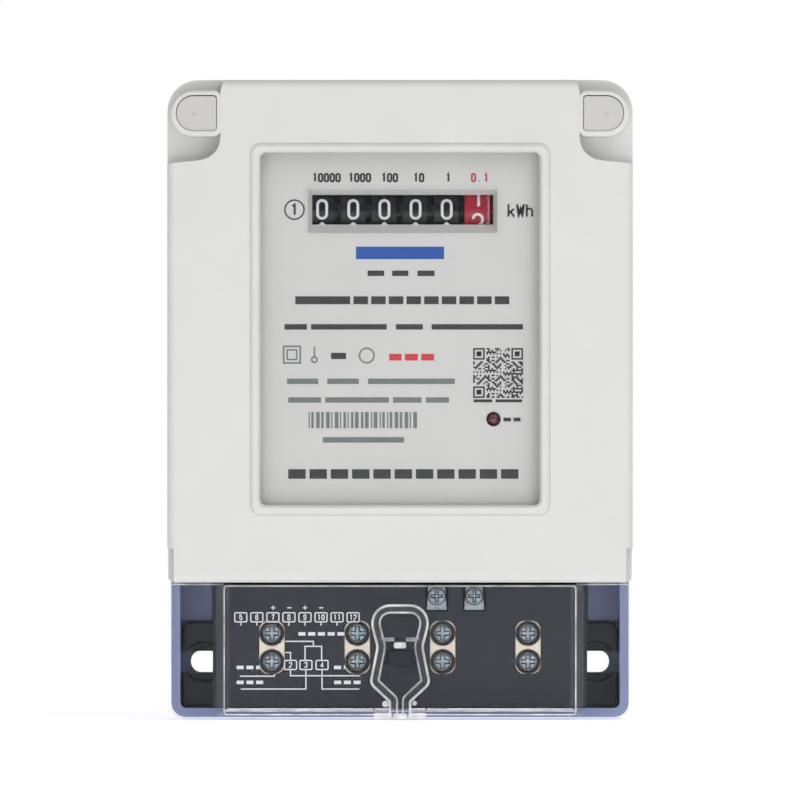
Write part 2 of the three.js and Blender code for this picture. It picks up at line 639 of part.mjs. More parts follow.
const smallPhase = meshingPhase(DRUM_AXIS, IDLER_AXIS, WHEEL_TEETH, SMALL_TEETH);
const rotorPhase = meshingPhase(IDLER_AXIS, ROTOR_AXIS, WHEEL_TEETH, SMALL_TEETH, smallPhase);
const idler = joined(
  gear(TRAIN_MODULE, SMALL_TEETH, [21.9, 23.1], 0.95, smallPhase),
  gear(TRAIN_MODULE, WHEEL_TEETH, [23, 24], 0.95, smallPhase),
);
place("idler_gear", idler, "nylon", [0, IDLER_AXIS.y, IDLER_AXIS.z]);
place("idler_pin", rod(0.7, "x", [21.95, 28], [IDLER_AXIS.y, IDLER_AXIS.z], 10), "steel");

const rotor = joined(
  rod(0.6, "x", [7, 27], [0, 0], 8),
  rod(3.9, "x", [11, 19], [0, 0], 12),
  gear(TRAIN_MODULE, SMALL_TEETH, [23, 24], 0, rotorPhase),
);
place("stepper_rotor", rotor, "black", [0, ROTOR_AXIS.y, ROTOR_AXIS.z]);

function registerFrame() {
  const cheek = (x0, x1) => box([x0, x1], [-46, -15], [24, 60]);
  let frame = joined(
    cheek(-25, -23.6), cheek(24.5, 26),
    box([-25, 26], [-16.5, -15], [26, 60]),
    box([8, 9.4], [-26.5, -16], [28, 35.5]),
    rod(2, "y", [-15.2, BOARD_FRONT - 0.1], [-18, 50], 8),
    rod(2, "y", [-15.2, BOARD_FRONT - 0.1], [18, 50], 8),
  );
  for (const [axis, radius] of [[DRUM_AXIS, 1.2], [PINION_AXIS, 1], [IDLER_AXIS, 0.9], [ROTOR_AXIS, 0.9]]) {
    frame = frame.subtract(rod(radius, "x", [-30, 30], [axis.y, axis.z], 8));
  }
  return frame;
}

/** A stack of laminations with a bore for the rotor and a window for the coil. */
function stepperStator() {
  const { y, z } = ROTOR_AXIS;
  const stack = box([12.8, 17.2], [y - 6.3, y + 7.3], [z - 18, z + 5.6]);
  const coilWindow = box([12, 18], [y - 3.8, y + 3.8], [z - 14.5, z - 7]);
  return cut(stack, rod(4.6, "x", [12, 18], [y, z], 12), coilWindow);
}

function stepperCoil() {
  const { y, z } = ROTOR_AXIS;
  const winding = box([9.8, 20.2], [y - 3.5, y + 3.5], [z - 21, z - 11.2]);
  return winding.subtract(box([12.5, 17.5], [y - 5, y + 5], [z - 18.3, z - 14.2]));
}

place("register_frame", registerFrame(), "drum");
place("stepper_stator", stepperStator(), "steel");
place("stepper_coil", stepperCoil(), "copper");

// ---------------------------------------------------------------- electronics

function circuitBoard() {
  let board = box([-46, 46], [BOARD_FRONT, BOARD_BACK], [-31, 60]);
  for (const [, side] of SIDES) {
    for (const z of [BOARD_SCREW.low, BOARD_SCREW.high]) {
      board = board.subtract(rod(1.5, "y", [-13, -8], [side * BOARD_SCREW.x, z], 8));
    }
  }
  return board;
}

const boardScrew = screw({ head: 2.4, headHeight: 1.6, shank: 0.9, length: 6.6, slotWidth: 0.7 });

const TRANSFORMER = { x: -24, z: -8 };

function transformerCore() {
  const { x, z } = TRANSFORMER;
  const stack = box([x - 11, x + 11], [-26, -14], [z - 9.5, z + 9.5]);
  const window = (from) => box([x + from, x + from + 5], [-30, -10], [z - 6, z + 6]);
  return cut(stack, window(-8), window(3));
}

function transformerCoil() {
  const { x, z } = TRANSFORMER;
  const winding = slab(rectangle([x - 7.7, x + 7.7], [z - 5.7, z + 5.7]), -30.4, -11.6);
  return winding.subtract(box([x - 3.3, x + 3.3], [-26.3, -13.7], [z - 10, z + 10]));
}

/** A strap across the first two terminals' tails. */
function currentShunt() {
  const [first, second] = TERMINAL_X;
  const shape = outline([
    [first - 2, -36], [first + 2, -36], [first + 2, -30], [second - 2, -30], [second - 2, -36],
    [second + 2, -36], [second + 2, -25, 2], [first - 2, -25, 2],
  ]);
  return slab(shape, -18.6, -16.3);
}

place("circuit_board", circuitBoard(), "board");
const boardScrewAt = [[-BOARD_SCREW.x, BOARD_SCREW.low], [BOARD_SCREW.x, BOARD_SCREW.high]];
boardScrewAt.forEach(([x, z], i) => {
  place(`board_screw_${i + 1}`, boardScrew, "zinc", [x, BOARD_FRONT - 1.65, z]);
});
place("metering_chip", box([5, 15], [-13.2, BOARD_FRONT - 0.1], [5, 15]), "drum");
place("supply_capacitor", rod(5, "y", [-24, BOARD_FRONT - 0.1], [2, -17], 14), "drum");
place("transformer_core", transformerCore(), "steel");
place("transformer_coil", transformerCoil(), "amber");
place("current_shunt", currentShunt(), "copper");

export default meter;
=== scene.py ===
"""The looks of a wall-mounted single-phase electricity meter, built round its CAD frame.

Pieces are made in millimetres in the frame's own axes (+X right, +Z up, the front faces -Y) and
scaled to metres. A front outline is a list of (x, z, radius) corners, and a y is a depth.
"""

import math

import bmesh
import bpy
from mathutils import Matrix, Vector


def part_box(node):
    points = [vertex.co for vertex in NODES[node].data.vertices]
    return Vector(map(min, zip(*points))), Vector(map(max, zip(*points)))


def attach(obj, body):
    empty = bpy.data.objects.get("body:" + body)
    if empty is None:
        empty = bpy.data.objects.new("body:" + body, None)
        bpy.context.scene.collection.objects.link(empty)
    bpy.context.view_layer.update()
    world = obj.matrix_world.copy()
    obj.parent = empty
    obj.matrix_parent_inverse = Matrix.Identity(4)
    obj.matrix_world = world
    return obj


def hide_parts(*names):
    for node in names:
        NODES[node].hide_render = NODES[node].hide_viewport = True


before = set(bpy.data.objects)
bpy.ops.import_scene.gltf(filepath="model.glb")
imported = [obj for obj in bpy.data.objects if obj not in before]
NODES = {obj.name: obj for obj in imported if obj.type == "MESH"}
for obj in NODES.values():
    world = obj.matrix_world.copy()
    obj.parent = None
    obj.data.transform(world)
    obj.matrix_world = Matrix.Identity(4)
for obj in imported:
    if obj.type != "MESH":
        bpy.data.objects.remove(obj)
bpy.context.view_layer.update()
MM = 0.001


def box_mm(node):
    """The lowest and highest corner of a CAD node, in millimetres."""
    low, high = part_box(node)
    return low / MM, high / MM


# ---- driving dimensions

COVER_LOW, COVER_HIGH = box_mm("front_cover")
BASE_LOW, BASE_HIGH = box_mm("base_shell")
CLEAR_LOW, CLEAR_HIGH = box_mm("terminal_cover")
BLOCK_HIGH = box_mm("terminal_block")[1]
PLATE_FRONT = box_mm("nameplate")[0].y
CAP_LOW, CAP_HIGH = box_mm("corner_cap_right")

HALF_WIDTH = COVER_HIGH.x
FRONT = COVER_LOW.y  # the ridge round the window
FACE = FRONT + 0.6  # the cover's flat front
WALL = 2.2
COVER_BOTTOM = -43.9
SHELF = -49.0  # sunken corner shelf
CORNER = (49.3, 68.9)  # case screw
WINDOW = ((-33.55, -25.2), (33.55, 59.5))
ARM_TOP = -35.7  # cut-in of the cover for the clear arms

WING_FRONT = -38.0  # clear cover beside its raised box
BOX_FRONT = CLEAR_LOW.y
CLEAR_WALL = 1.6

BLOCK_FACE = -40.0
BLOCK_BACK = BLOCK_HIGH.y
SHOULDER = (45.2, -33.5)  # half width and front plane beside the face
FACE_HALF = 41.3
EAR = {"inner": 45.2, "outer": 52.8, "low": -74.3, "high": -53.8, "front": -12.0}
LEDGE_FRONT = -9.0  # raised floor of the base over the ears
SLOT = {"z": -63.5, "radius": 2.6, "inner": 43.4, "outer": 50.8}
TERMINALS = [-30.9, -10.3, 10.3, 30.9]
SCREW_ROWS = {"upper": -56.3, "lower": -63.1}
CABLE_Y = -27.0
AUX = [8.85, 17.9]
AUX_Z = -47.3
BLOCK_SCREW = (40.0, -50.0)
BOARD_SCREW_X = 42
BOARD_SCREW_Z = (-27, 56)

DRUM_AXIS = (-37.6, 45.9)  # y, z
DRUM_RADIUS = 10.0
DRUM_HALF = 3.1
DRUMS = ["drum_10000", "drum_1000", "drum_100", "drum_10", "drum_1", "drum_tenths"]
DRUM_X = [box_mm(name)[0].x + DRUM_HALF for name in DRUMS]
BEZEL = ((-22.3, 40.1), (23.5, 50.8))
BEZEL_OPENING = ((-21.0, 42.5), (22.3, 49.2))
LAMP = (22.5, -4.6)

SIDES = {"left": -1, "right": 1}
ARC_STEP = math.radians(11)
INK_LIFT = 0.05  # printed ink stands this far off its surface
INK_SINK = 0.03  # and reaches this far into it


# ---- outlines and solids


def mirrored(corners, side):
    """The same outline on the other side of the middle when side is -1."""
    return [(side * x, z, radius) for x, z, radius in corners]


def span(side, inner, outer):
    """A range of x on one side of the middle, lowest first."""
    return sorted((side * inner, side * outer))


def on_side(side, spot):
    """A spot (x, z) on one side of the middle, as a point."""
    return side * spot[0], 0, spot[1]


def rectangle(low, high, radius=0.0, top_radius=None):
    (x0, z0), (x1, z1) = low, high
    top = radius if top_radius is None else top_radius
    return [(x0, z0, radius), (x1, z0, radius), (x1, z1, top), (x0, z1, top)]


def corner_frame(before, here, after):
    """The way back, the bisector, the half angle and the turn of a corner."""
    back = (before - here).normalized()
    ahead = (after - here).normalized()
    half = back.angle(ahead) / 2
    turn = -back.cross(ahead)
    return back, (back + ahead).normalized(), half, turn


def rounded(corners, grow=0.0, closed=True):
    """The points of an outline, grown outward by a distance, with its corners rounded by arcs."""
    spots = [Vector((x, z)) for x, z, _ in corners]
    radii = [radius for _, _, radius in corners]
    count = len(spots)
    area = sum(spots[i - 1].cross(spots[i]) for i in range(count))
    if closed and area < 0:
        spots.reverse()
        radii.reverse()
    points = []
    grown = []
    for i, here in enumerate(spots):
        if not closed and i in (0, count - 1):
            grown.append(here)
            continue
        _, bisector, half, turn = corner_frame(spots[i - 1], here, spots[(i + 1) % count])
        outward = -bisector if turn > 0 else bisector
        grown.append(here + outward * grow / math.sin(half))
    for i, here in enumerate(grown):
        if not closed and i in (0, count - 1):
            points.append(here)
            continue
        back, bisector, half, turn = corner_frame(grown[i - 1], here, grown[(i + 1) % count])
        if radii[i] == 0:
            points.append(here)
            continue
        radius = max(radii[i] + (grow if turn > 0 else -grow), 0.03)
        centre = here + bisector * radius / math.sin(half)
        start = here + back * radius / math.tan(half) - centre
        sweep = math.pi - 2 * half
        steps = max(2, math.ceil(sweep / ARC_STEP))
        for step in range(steps + 1):
            angle = math.copysign(sweep * step / steps, turn)
            points.append(centre + Matrix.Rotation(angle, 2) @ start)
    return points


def as_object(bm, name="work"):
    bmesh.ops.recalc_face_normals(bm, faces=bm.faces)
    mesh = bpy.data.meshes.new(name)
    bm.to_mesh(mesh)
    bm.free()
    obj = bpy.data.objects.new(name, mesh)
    bpy.context.scene.collection.objects.link(obj)
    return obj


def skin(bm, rings, open_ends=False):
    """Quads from ring to ring, with a face over each end."""
    rows = [[bm.verts.new(point) for point in ring] for ring in rings]
    count = len(rows[0])
    for row, after in zip(rows, rows[1:]):
        for i in range(count):
            j = (i + 1) % count
            bm.faces.new((row[i], row[j], after[j], after[i]))
    if not open_ends:
        bm.faces.new(rows[0][::-1])
        bm.faces.new(rows[-1])
    return rows


def loft(corners, profile):
    """A solid from an outline; profile lists (y, grow) from front to back."""
    bm = bmesh.new()
    skin(bm, [[(p.x, y, p.y) for p in rounded(corners, grow)] for y, grow in profile])
    return as_object(bm)


def slab(corners, y_front, y_back):
    return loft(corners, [(y_front, 0), (y_back, 0)])


def eased(y, radius, steps=6, outward=1):
    """The profile of a rounded edge: from the front plane at y to the side, a radius behind it."""
    angles = [math.pi / 2 * step / steps for step in range(steps + 1)]
    return [(y + outward * radius * (1 - math.cos(a)), radius * (math.sin(a) - 1)) for a in angles]


def block(low, high):
    return slab(rectangle((low[0], low[2]), (high[0], high[2])), low[1], high[1])


def turned(profile, sides=48, axis="y", at=(0, 0, 0)):
    """A body turned about an axis from (radius, distance along it) points that start and end on it."""
    bm = bmesh.new()
    rings = []
    for radius, along in profile[1:-1]:
        ring = []
        for i in range(sides):
            angle = 2 * math.pi * i / sides
            ring.append((radius * math.cos(angle), along, radius * math.sin(angle)))
        rings.append(ring)
    rows = skin(bm, rings, open_ends=True)
    for row, (_, along) in ((rows[0], profile[0]), (rows[-1], profile[-1])):
        tip = bm.verts.new((0, along, 0))
        for i in range(sides):
            bm.faces.new((row[i], row[(i + 1) % sides], tip))
    if axis == "x":
        bmesh.ops.rotate(bm, matrix=Matrix.Rotation(-math.pi / 2, 3, "Z"), verts=bm.verts)
    if axis == "z":
        bmesh.ops.rotate(bm, matrix=Matrix.Rotation(math.pi / 2, 3, "X"), verts=bm.verts)
    bmesh.ops.translate(bm, vec=at, verts=bm.verts)
    return as_object(bm)


def rod(radius, start, end, at, axis="y", sides=40):
    """A round bar along an axis from start to end."""
    return turned([(0, start), (radius, start), (radius, end), (0, end)], sides, axis, at)


def apply_modifiers(obj):
    depsgraph = bpy.context.evaluated_depsgraph_get()
    mesh = bpy.data.meshes.new_from_object(obj.evaluated_get(depsgraph))
    obj.modifiers.clear()
    obj.data = mesh
    return obj


def combined(operation, target, tools):
    for tool in tools:
        modifier = target.modifiers.new("boolean", "BOOLEAN")
        modifier.operation = operation
        modifier.solver = "EXACT"
        modifier.object = tool
    apply_modifiers(target)
    for tool in tools:
        bpy.data.objects.remove(tool)
    return target


def cut(target, *tools):
    return combined("DIFFERENCE", target, tools)


def added(target, *tools):
    return combined("UNION", target, tools)


def joined(objects):
    """Several closed bodies as one object, without a boolean."""
    bm = bmesh.new()
    for obj in objects:
        bm.from_mesh(obj.data)
        bpy.data.objects.remove(obj)
    return as_object(bm)


def moved(obj, offset):
    obj.data.transform(Matrix.Translation(offset))
    return obj


def softened(obj, width, segments=2):
    """Bevels the sharp edges of a finished solid."""
    bm = bmesh.new()
    bm.from_mesh(obj.data)
    bmesh.ops.remove_doubles(bm, verts=bm.verts, dist=0.0005)
    bmesh.ops.dissolve_degenerate(bm, edges=bm.edges, dist=0.0005)
    flat = [edge for edge in bm.edges if edge.is_manifold and edge.calc_face_angle() < math.radians(0.5)]
    bmesh.ops.dissolve_edges(bm, edges=flat, use_verts=True)
    bm.to_mesh(obj.data)
    bm.free()
    if width:
        bevel = obj.modifiers.new("bevel", "BEVEL")
        bevel.width = width
        bevel.segments = segments
        bevel.limit_method = "ANGLE"
        bevel.angle_limit = math.radians(32)
        bevel.miter_outer = "MITER_ARC"
        apply_modifiers(obj)
    return obj


def shaded(obj, angle=34):
    """Smooth shading with weighted normals, sharp only at edges over an angle."""
    mesh = obj.data
    mesh.polygons.foreach_set("use_smooth", [True] * len(mesh.polygons))
    mesh.set_sharp_from_angle(angle=math.radians(angle))
    weighted = obj.modifiers.new("normals", "WEIGHTED_NORMAL")
    weighted.keep_sharp = True
    return obj


def piece(obj, name, slot, body="case", replaces=(), bevel=0.0, material=None):
    """Finishes a millimetre solid as a named piece; its material is its slot's unless it is given."""
    softened(obj, bevel)
    obj.data.transform(Matrix.Scale(MM, 4))
    obj.name = name
    obj.data.name = name
    obj.data.materials.clear()
    obj.data.materials.append(MATERIALS[material or slot])
    shaded(obj)
    apply_modifiers(obj)
    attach(obj, body)
    if replaces:
        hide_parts(*replaces)
    return obj


# ---- materials


class Shader:
    """A material under construction: a Principled shader and the nodes that feed it."""

    def __init__(self, name, color, roughness, metallic=0.0, **settings):
        self.material = bpy.data.materials.new(name)
        self.material.use_nodes = True
        self.tree = self.material.node_tree
        self.principled = self.tree.nodes["Principled BSDF"]
        self.color = color
        self.roughness = roughness
        self.principled.inputs["Base Color"].default_value = (*color, 1)
        self.principled.inputs["Roughness"].default_value = roughness
        self.principled.inputs["Metallic"].default_value = metallic
        for socket, value in settings.items():
            self.principled.inputs[socket.replace("_", " ")].default_value = value
        self.place = self.node("ShaderNodeTexCoord").outputs["Object"]

    def node(self, kind, **values):
        node = self.tree.nodes.new(kind)
        for key, value in values.items():
            setattr(node, key, value)
        return node

    def link(self, source, target):
        self.tree.links.new(source, target)

    def noise(self, size_mm, detail=3.0, stretch=(1, 1, 1)):
        """Noise whose features are about size_mm across."""
        mapping = self.node("ShaderNodeMapping")
        mapping.inputs["Scale"].default_value = stretch
        self.link(self.place, mapping.inputs["Vector"])
        noise = self.node("ShaderNodeTexNoise")
        noise.inputs["Scale"].default_value = 1 / (size_mm * MM)
        noise.inputs["Detail"].default_value = detail
        self.link(mapping.outputs["Vector"], noise.inputs["Vector"])
        return noise.outputs["Fac"]

    def ranged(self, source, low, high, start=0.3, end=0.7):
        ramp = self.node("ShaderNodeMapRange")
        for socket, value in (("From Min", start), ("From Max", end), ("To Min", low), ("To Max", high)):
            ramp.inputs[socket].default_value = value
        self.link(source, ramp.inputs["Value"])
        return ramp.outputs["Result"]

    def blend(self, factor, first, second):
        mix = self.node("ShaderNodeMix", data_type="RGBA")
        self.link(factor, mix.inputs[0])
        mix.inputs[6].default_value = (*first, 1)
        mix.inputs[7].default_value = (*second, 1)
        return mix.outputs[2]

    def mottle(self, size_mm, amount, tint=(1, 1, 1)):
        """Colour that drifts a little lighter and darker over the surface."""
        darker = [c * (1 - amount) for c in self.color]
        lighter = [min(1, c * (1 + amount) * t) for c, t in zip(self.color, tint)]
        color = self.blend(self.ranged(self.noise(size_mm), 0, 1), darker, lighter)
        self.link(color, self.principled.inputs["Base Color"])
        return self

    def gloss(self, size_mm, spread, stretch=(1, 1, 1)):
        """Roughness that varies over the surface."""
        source = self.noise(size_mm, stretch=stretch)
        value = self.ranged(source, self.roughness - spread, self.roughness + spread)
        self.link(value, self.principled.inputs["Roughness"])
        return self

    def grain(self, size_mm, depth_mm, strength=0.5, stretch=(1, 1, 1), detail=2.0):
        """Fine surface relief."""
        bump = self.node("ShaderNodeBump")
        bump.inputs["Strength"].default_value = strength
        bump.inputs["Distance"].default_value = depth_mm * MM
        self.link(self.noise(size_mm, detail, stretch), bump.inputs["Height"])
        self.link(bump.outputs["Normal"], self.principled.inputs["Normal"])
        return self

    def see_through(self, facing_low, facing_high, power=1.3):
        """Clear where it is looked at squarely, and denser and paler towards its edges: a painted reflection
        of the room at glancing views.
        """
        weight = self.node("ShaderNodeLayerWeight")
        weight.inputs["Blend"].default_value = 0.5
        curve = self.node("ShaderNodeMath", operation="POWER")
        curve.inputs[1].default_value = power
        self.link(weight.outputs["Facing"], curve.inputs[0])
        # alpha rising at glancing views paints the room's reflection as a pale film
        value = self.ranged(curve.outputs[0], facing_low, facing_high, 0, 1)
        self.link(value, self.principled.inputs["Alpha"])
        return self


def linear(red, green, blue):
    """A screen colour from 0 to 255 as linear light."""
    values = [channel / 255 for channel in (red, green, blue)]
    return tuple(v / 12.92 if v <= 0.04045 else ((v + 0.055) / 1.055) ** 2.4 for v in values)


def moulded(name, color, roughness, texture_mm=0.35, depth_mm=0.01, strength=0.35, specular=0.5):
    """Injection-moulded plastic with a fine spark-eroded texture."""
    shader = Shader(name, color, roughness, Specular_IOR_Level=specular)
    shader.mottle(14, 0.018).gloss(5, 0.05).grain(texture_mm, depth_mm, strength)
    return shader.material


def metal(name, color, roughness, grain_mm=0.5, stretch=(1, 1, 1), mottling=0.06):
    shader = Shader(name, color, roughness, metallic=1.0)
    shader.mottle(2.5, mottling).gloss(1.2, 0.08, stretch).grain(grain_mm, 0.006, 0.3, stretch)
    return shader.material


def ink(name, color):
    shader = Shader(name, color, 0.55)
    return shader.mottle(1.5, 0.06).gloss(1, 0.05).grain(0.12, 0.004, 0.3).material


def clear_plastic(name, color, facing_low, facing_high, power, roughness=0.06):
    shader = Shader(name, color, roughness, Specular_IOR_Level=0.5)
    shader.gloss(8, 0.03).grain(6, 0.02, 0.08).see_through(facing_low, facing_high, power)
    return shader.material


def clear_edge(name, color):
    """A painted highlight: paler, denser clear plastic for the faces where the cover curves away, standing in
    for the light that gathers there.
    """
    shader = Shader(name, color, 0.2, Specular_IOR_Level=0.8)
    shader.mottle(2.5, 0.12).gloss(2, 0.08).grain(1.5, 0.02, 0.2)
    shader.link(shader.ranged(shader.noise(4.5), 0.4, 1.0), shader.principled.inputs["Alpha"])
    return shader.material


# screen colour, roughness, then texture size, depth and strength, and specular level
MOULDED = {
    "case_white": ((222, 222, 220), 0.42, 0.3, 0.006, 0.25),
    "case_blue": ((147, 157, 201), 0.46, 0.4, 0.012, 0.4),
    "cap_grey": ((205, 204, 202), 0.45, 0.3, 0.006, 0.25),
    "bezel_grey": ((206, 206, 204), 0.4, 0.3, 0.006, 0.25),
    "nameplate": ((208, 208, 207), 0.38, 0.5, 0.004, 0.2),
    "block_black": ((32, 38, 49), 0.42, 0.35, 0.02, 0.45, 0.3),
    "frame_black": ((22, 23, 26), 0.5),
    "rubber": ((40, 40, 44), 0.85, 0.25, 0.02, 0.5),
    "drum_black": ((16, 18, 22), 0.22, 0.5, 0.002, 0.1, 0.25),
    "drum_red": ((158, 32, 50), 0.28, 0.5, 0.002, 0.1, 0.25),
    "nylon": ((222, 218, 206), 0.5),
    "tape_amber": ((196, 150, 66), 0.5),
    "board_green": ((42, 104, 66), 0.35),
    "capacitor_sleeve": ((30, 32, 40), 0.3),
}
# screen colour, roughness, then grain size, its stretch and the mottling
METALS = {
    "zinc": ((142, 152, 160), 0.36, 0.3, (1, 1, 1), 0.15),
    "steel": ((176, 178, 180), 0.3, 0.4, (1, 12, 12)),
    "hanger_steel": ((172, 175, 176), 0.34, 0.5, (10, 1, 1)),
    "terminal_metal": ((208, 200, 188), 0.42, 0.4, (1, 1, 8), 0.03),
    "magnet": ((72, 74, 78), 0.55),
    "lamination": ((120, 122, 124), 0.5, 0.5, (16, 1, 1)),
    "copper": ((196, 120, 84), 0.34, 0.4, (1, 10, 1)),
}
INKS = {
    "ink_black": (46, 47, 50),
    "ink_grey": (112, 120, 120),
    "ink_blue": (22, 78, 164),
    "ink_red": (206, 52, 58),
    "ink_white": (236, 238, 242),
    "ink_digit": (214, 217, 226),
    "ink_brick": (178, 52, 66),
}
MATERIALS = {name: moulded(name, linear(*color), *finish) for name, (color, *finish) in MOULDED.items()}
MATERIALS.update({name: metal(name, linear(*color), *finish) for name, (color, *finish) in METALS.items()})
MATERIALS["lens_clear"] = clear_plastic("lens_clear", linear(248, 249, 250), 0.008, 0.2, 1.5)
MATERIALS["cover_clear"] = clear_plastic("cover_clear", linear(226, 230, 238), 0.01, 0.22, 2.5)
# a paler, denser clear plastic that paints the highlight along the clear cover's curving faces
MATERIALS["cover_edge_highlight"] = clear_edge("cover_edge_highlight", linear(250, 249, 254))
LAMP_RED = Shader("lamp_red", linear(92, 22, 34), 0.15, Specular_IOR_Level=0.7)
MATERIALS["lamp_red"] = LAMP_RED.mottle(0.8, 0.3).gloss(1, 0.05).grain(0.6, 0.01, 0.3).material
MATERIALS.update({name: ink(name, linear(*color)) for name, color in INKS.items()})


# ---- printing


def densified(points, longest):
    """The same path with no step longer than a length."""
    result = [points[0]]
    for start, end in zip(points, points[1:]):
        steps = max(1, math.ceil((end - start).length / longest))
        result += [start.lerp(end, step / steps) for step in range(1, steps + 1)]
    return result


def ribbon(bm, points, width, placed, closed=False):
    """A thin closed band of ink along a path; placed turns x, z and a lift into a point."""
    count = len(points)
    rows = []
    for i, here in enumerate(points):
        before = points[i - 1] if closed or i else here
        after = points[(i + 1) % count] if closed or i < count - 1 else here
        inward = (here - before).normalized() if before != here else (after - here).normalized()
        outward = (after - here).normalized() if after != here else inward
        tangent = (inward + outward).normalized()
        across = Vector((-tangent.y, tangent.x)) * width / 2 / max(0.5, tangent.dot(outward))
        left, right = here + across, here - across
        spots = [(left, INK_LIFT), (right, INK_LIFT), (right, -INK_SINK), (left, -INK_SINK)]
        rows.append([bm.verts.new(placed(spot.x, spot.y, lift)) for spot, lift in spots])
    for i in range(count if closed else count - 1):
        row, after = rows[i], rows[(i + 1) % count]
        for k in range(4):
            bm.faces.new((row[k], after[k], after[(k + 1) % 4], row[(k + 1) % 4]))
    if not closed:
        bm.faces.new(rows[0])
        bm.faces.new(rows[-1][::-1])


# each figure is drawn by strokes in a box 1 wide and 2 high: (closed, corners)
FIGURES = {
    "0": [(True, [(0, 0, 0.5), (1, 0, 0.5), (1, 2, 0.5), (0, 2, 0.5)])],
    "1": [(False, [(0.2, 1.62, 0), (0.58, 2, 0), (0.58, 0, 0)])],
    "2": [
        (False, [
            (0, 1.5, 0), (0, 2, 0.45), (1, 2, 0.5), (1, 1.1, 0.4), (0, 0.2, 0.1), (0, 0, 0), (1, 0, 0),
        ]),
    ],
    "3": [
        (False, [(0, 1.6, 0), (0, 2, 0.4), (1, 2, 0.45), (1, 1.05, 0.4), (0.35, 1.05, 0)]),
        (False, [(0.35, 1.05, 0), (1, 1.05, 0.4), (1, 0, 0.5), (0, 0, 0.45), (0, 0.45, 0)]),
    ],
    "4": [(False, [(0.75, 0, 0), (0.75, 2, 0), (0, 0.6, 0), (1.05, 0.6, 0)])],
    "5": [
        (False, [
            (0.95, 2, 0), (0.1, 2, 0), (0.05, 1.1, 0), (0.3, 1.28, 0.2), (1, 1.28, 0.5),
            (1, 0, 0.5), (0, 0, 0.45), (0, 0.4, 0),
        ]),
    ],
    "6": [
        (True, [(0, 0, 0.5), (1, 0, 0.5), (1, 1.2, 0.5), (0, 1.2, 0.5)]),
        (False, [(0, 0.6, 0), (0, 2, 0.6), (0.95, 2, 0.2), (0.95, 1.65, 0)]),
    ],
    "7": [(False, [(0, 2, 0), (1, 2, 0), (0.4, 0, 0)])],
    "8": [
        (True, [(0.05, 1.05, 0.42), (0.95, 1.05, 0.42), (0.95, 2, 0.42), (0.05, 2, 0.42)]),
        (True, [(0, 0, 0.48), (1, 0, 0.48), (1, 1.05, 0.48), (0, 1.05, 0.48)]),
    ],
    "9": [
        (True, [(0, 0.8, 0.5), (1, 0.8, 0.5), (1, 2, 0.5), (0, 2, 0.5)]),
        (False, [(1, 1.4, 0), (1, 0, 0.6), (0.05, 0, 0.2), (0.05, 0.35, 0)]),
    ],
    ".": [(False, [(0.42, 0, 0), (0.42, 0.22, 0)])],
    "+": [(False, [(0, 1, 0), (1, 1, 0)]), (False, [(0.5, 0.5, 0), (0.5, 1.5, 0)])],
    "-": [(False, [(0, 1, 0), (1, 1, 0)])],
    "k": [
        (False, [(0.05, 0, 0), (0.05, 2, 0)]),
        (False, [(0.9, 1.25, 0), (0.08, 0.55, 0)]),
        (False, [(0.38, 0.8, 0), (0.95, 0, 0)]),
    ],
    "W": [(False, [(-0.05, 2, 0), (0.22, 0, 0), (0.5, 1.5, 0), (0.78, 0, 0), (1.05, 2, 0)])],
    "h": [
        (False, [(0.05, 0, 0), (0.05, 2, 0)]),
        (False, [(0.05, 0.8, 0), (0.05, 1.3, 0.35), (0.9, 1.3, 0.4), (0.9, 0, 0)]),
    ],
}


def draw_figure(bm, figure, centre, size, stroke, placed, longest=1.0):
    """One figure, its strokes' middle lines filling size about its centre."""
    width, height = size
    for closed, corners in FIGURES[figure]:
        spots = [
            (centre[0] + (x - 0.5) * width, centre[1] + (z - 1) * height / 2, radius * width)
            for x, z, radius in corners
        ]
        points = rounded(spots, closed=closed)
        if closed:
            points = densified(points + points[:1], longest)[:-1]
        else:
            points = densified(points, longest)
        ribbon(bm, points, stroke, placed, closed)


def draw_figures(bm, text, centre, size, pitch, stroke, placed):
    """A row of figures about a centre."""
    for i, figure in enumerate(text):
        x = centre[0] + (i - (len(text) - 1) / 2) * pitch
        draw_figure(bm, figure, (x, centre[1]), size, stroke, placed)


def draw_bar(bm, low, high, placed):
    """A filled rectangle."""
    middle = (low[1] + high[1]) / 2
    ribbon(bm, [Vector((low[0], middle)), Vector((high[0], middle))], high[1] - low[1], placed)


def draw_line(bm, corners, width, placed, closed=False):
    ribbon(bm, rounded([(*corner, 0)[:3] for corner in corners], closed=closed), width, placed, closed)


def draw_circle(bm, centre, radius, width, placed):
    steps = 40
    turns = [2 * math.pi * step / steps for step in range(steps)]
    points = [Vector(centre) + radius * Vector((math.cos(a), math.sin(a))) for a in turns]
    ribbon(bm, points, width, placed, closed=True)


def on_plane(y):
    """Ink on a flat front at this depth."""
    return lambda x, z, lift: (x, y - lift, z)


def on_drum(centre_x):
    """Ink round a drum: z runs round its rim from the foremost line upward."""

    def placed(x, z, lift):
        angle = z / DRUM_RADIUS
        reach = DRUM_RADIUS + lift
        y, height = DRUM_AXIS[0] - reach * math.cos(angle), DRUM_AXIS[1] + reach * math.sin(angle)
        return centre_x + x, y, height

    return placed


# ---- case


def cap_outline(side, margin):
    """The D-shaped outline of a corner cap, its seat and its boss, grown by a margin."""
    low, high = CAP_LOW.z - margin, CAP_HIGH.z + margin
    flat, round_end = CAP_LOW.x - margin, CAP_HIGH.x + margin
    half = (high - low) / 2 - 0.05
    corners = [
        (flat, low, 0.8 + margin), (round_end, low, half),
        (round_end, high, half), (flat, high, 0.8 + margin),
    ]
    return mirrored(corners, side)


def shelf_outline(side):
    corners = [(60, 80, 0), (41.6, 80, 0), (43.2, 74.2, 0.4), (43.2, 58.2, 5.5), (60, 56.4, 0)]
    return mirrored(corners, side)


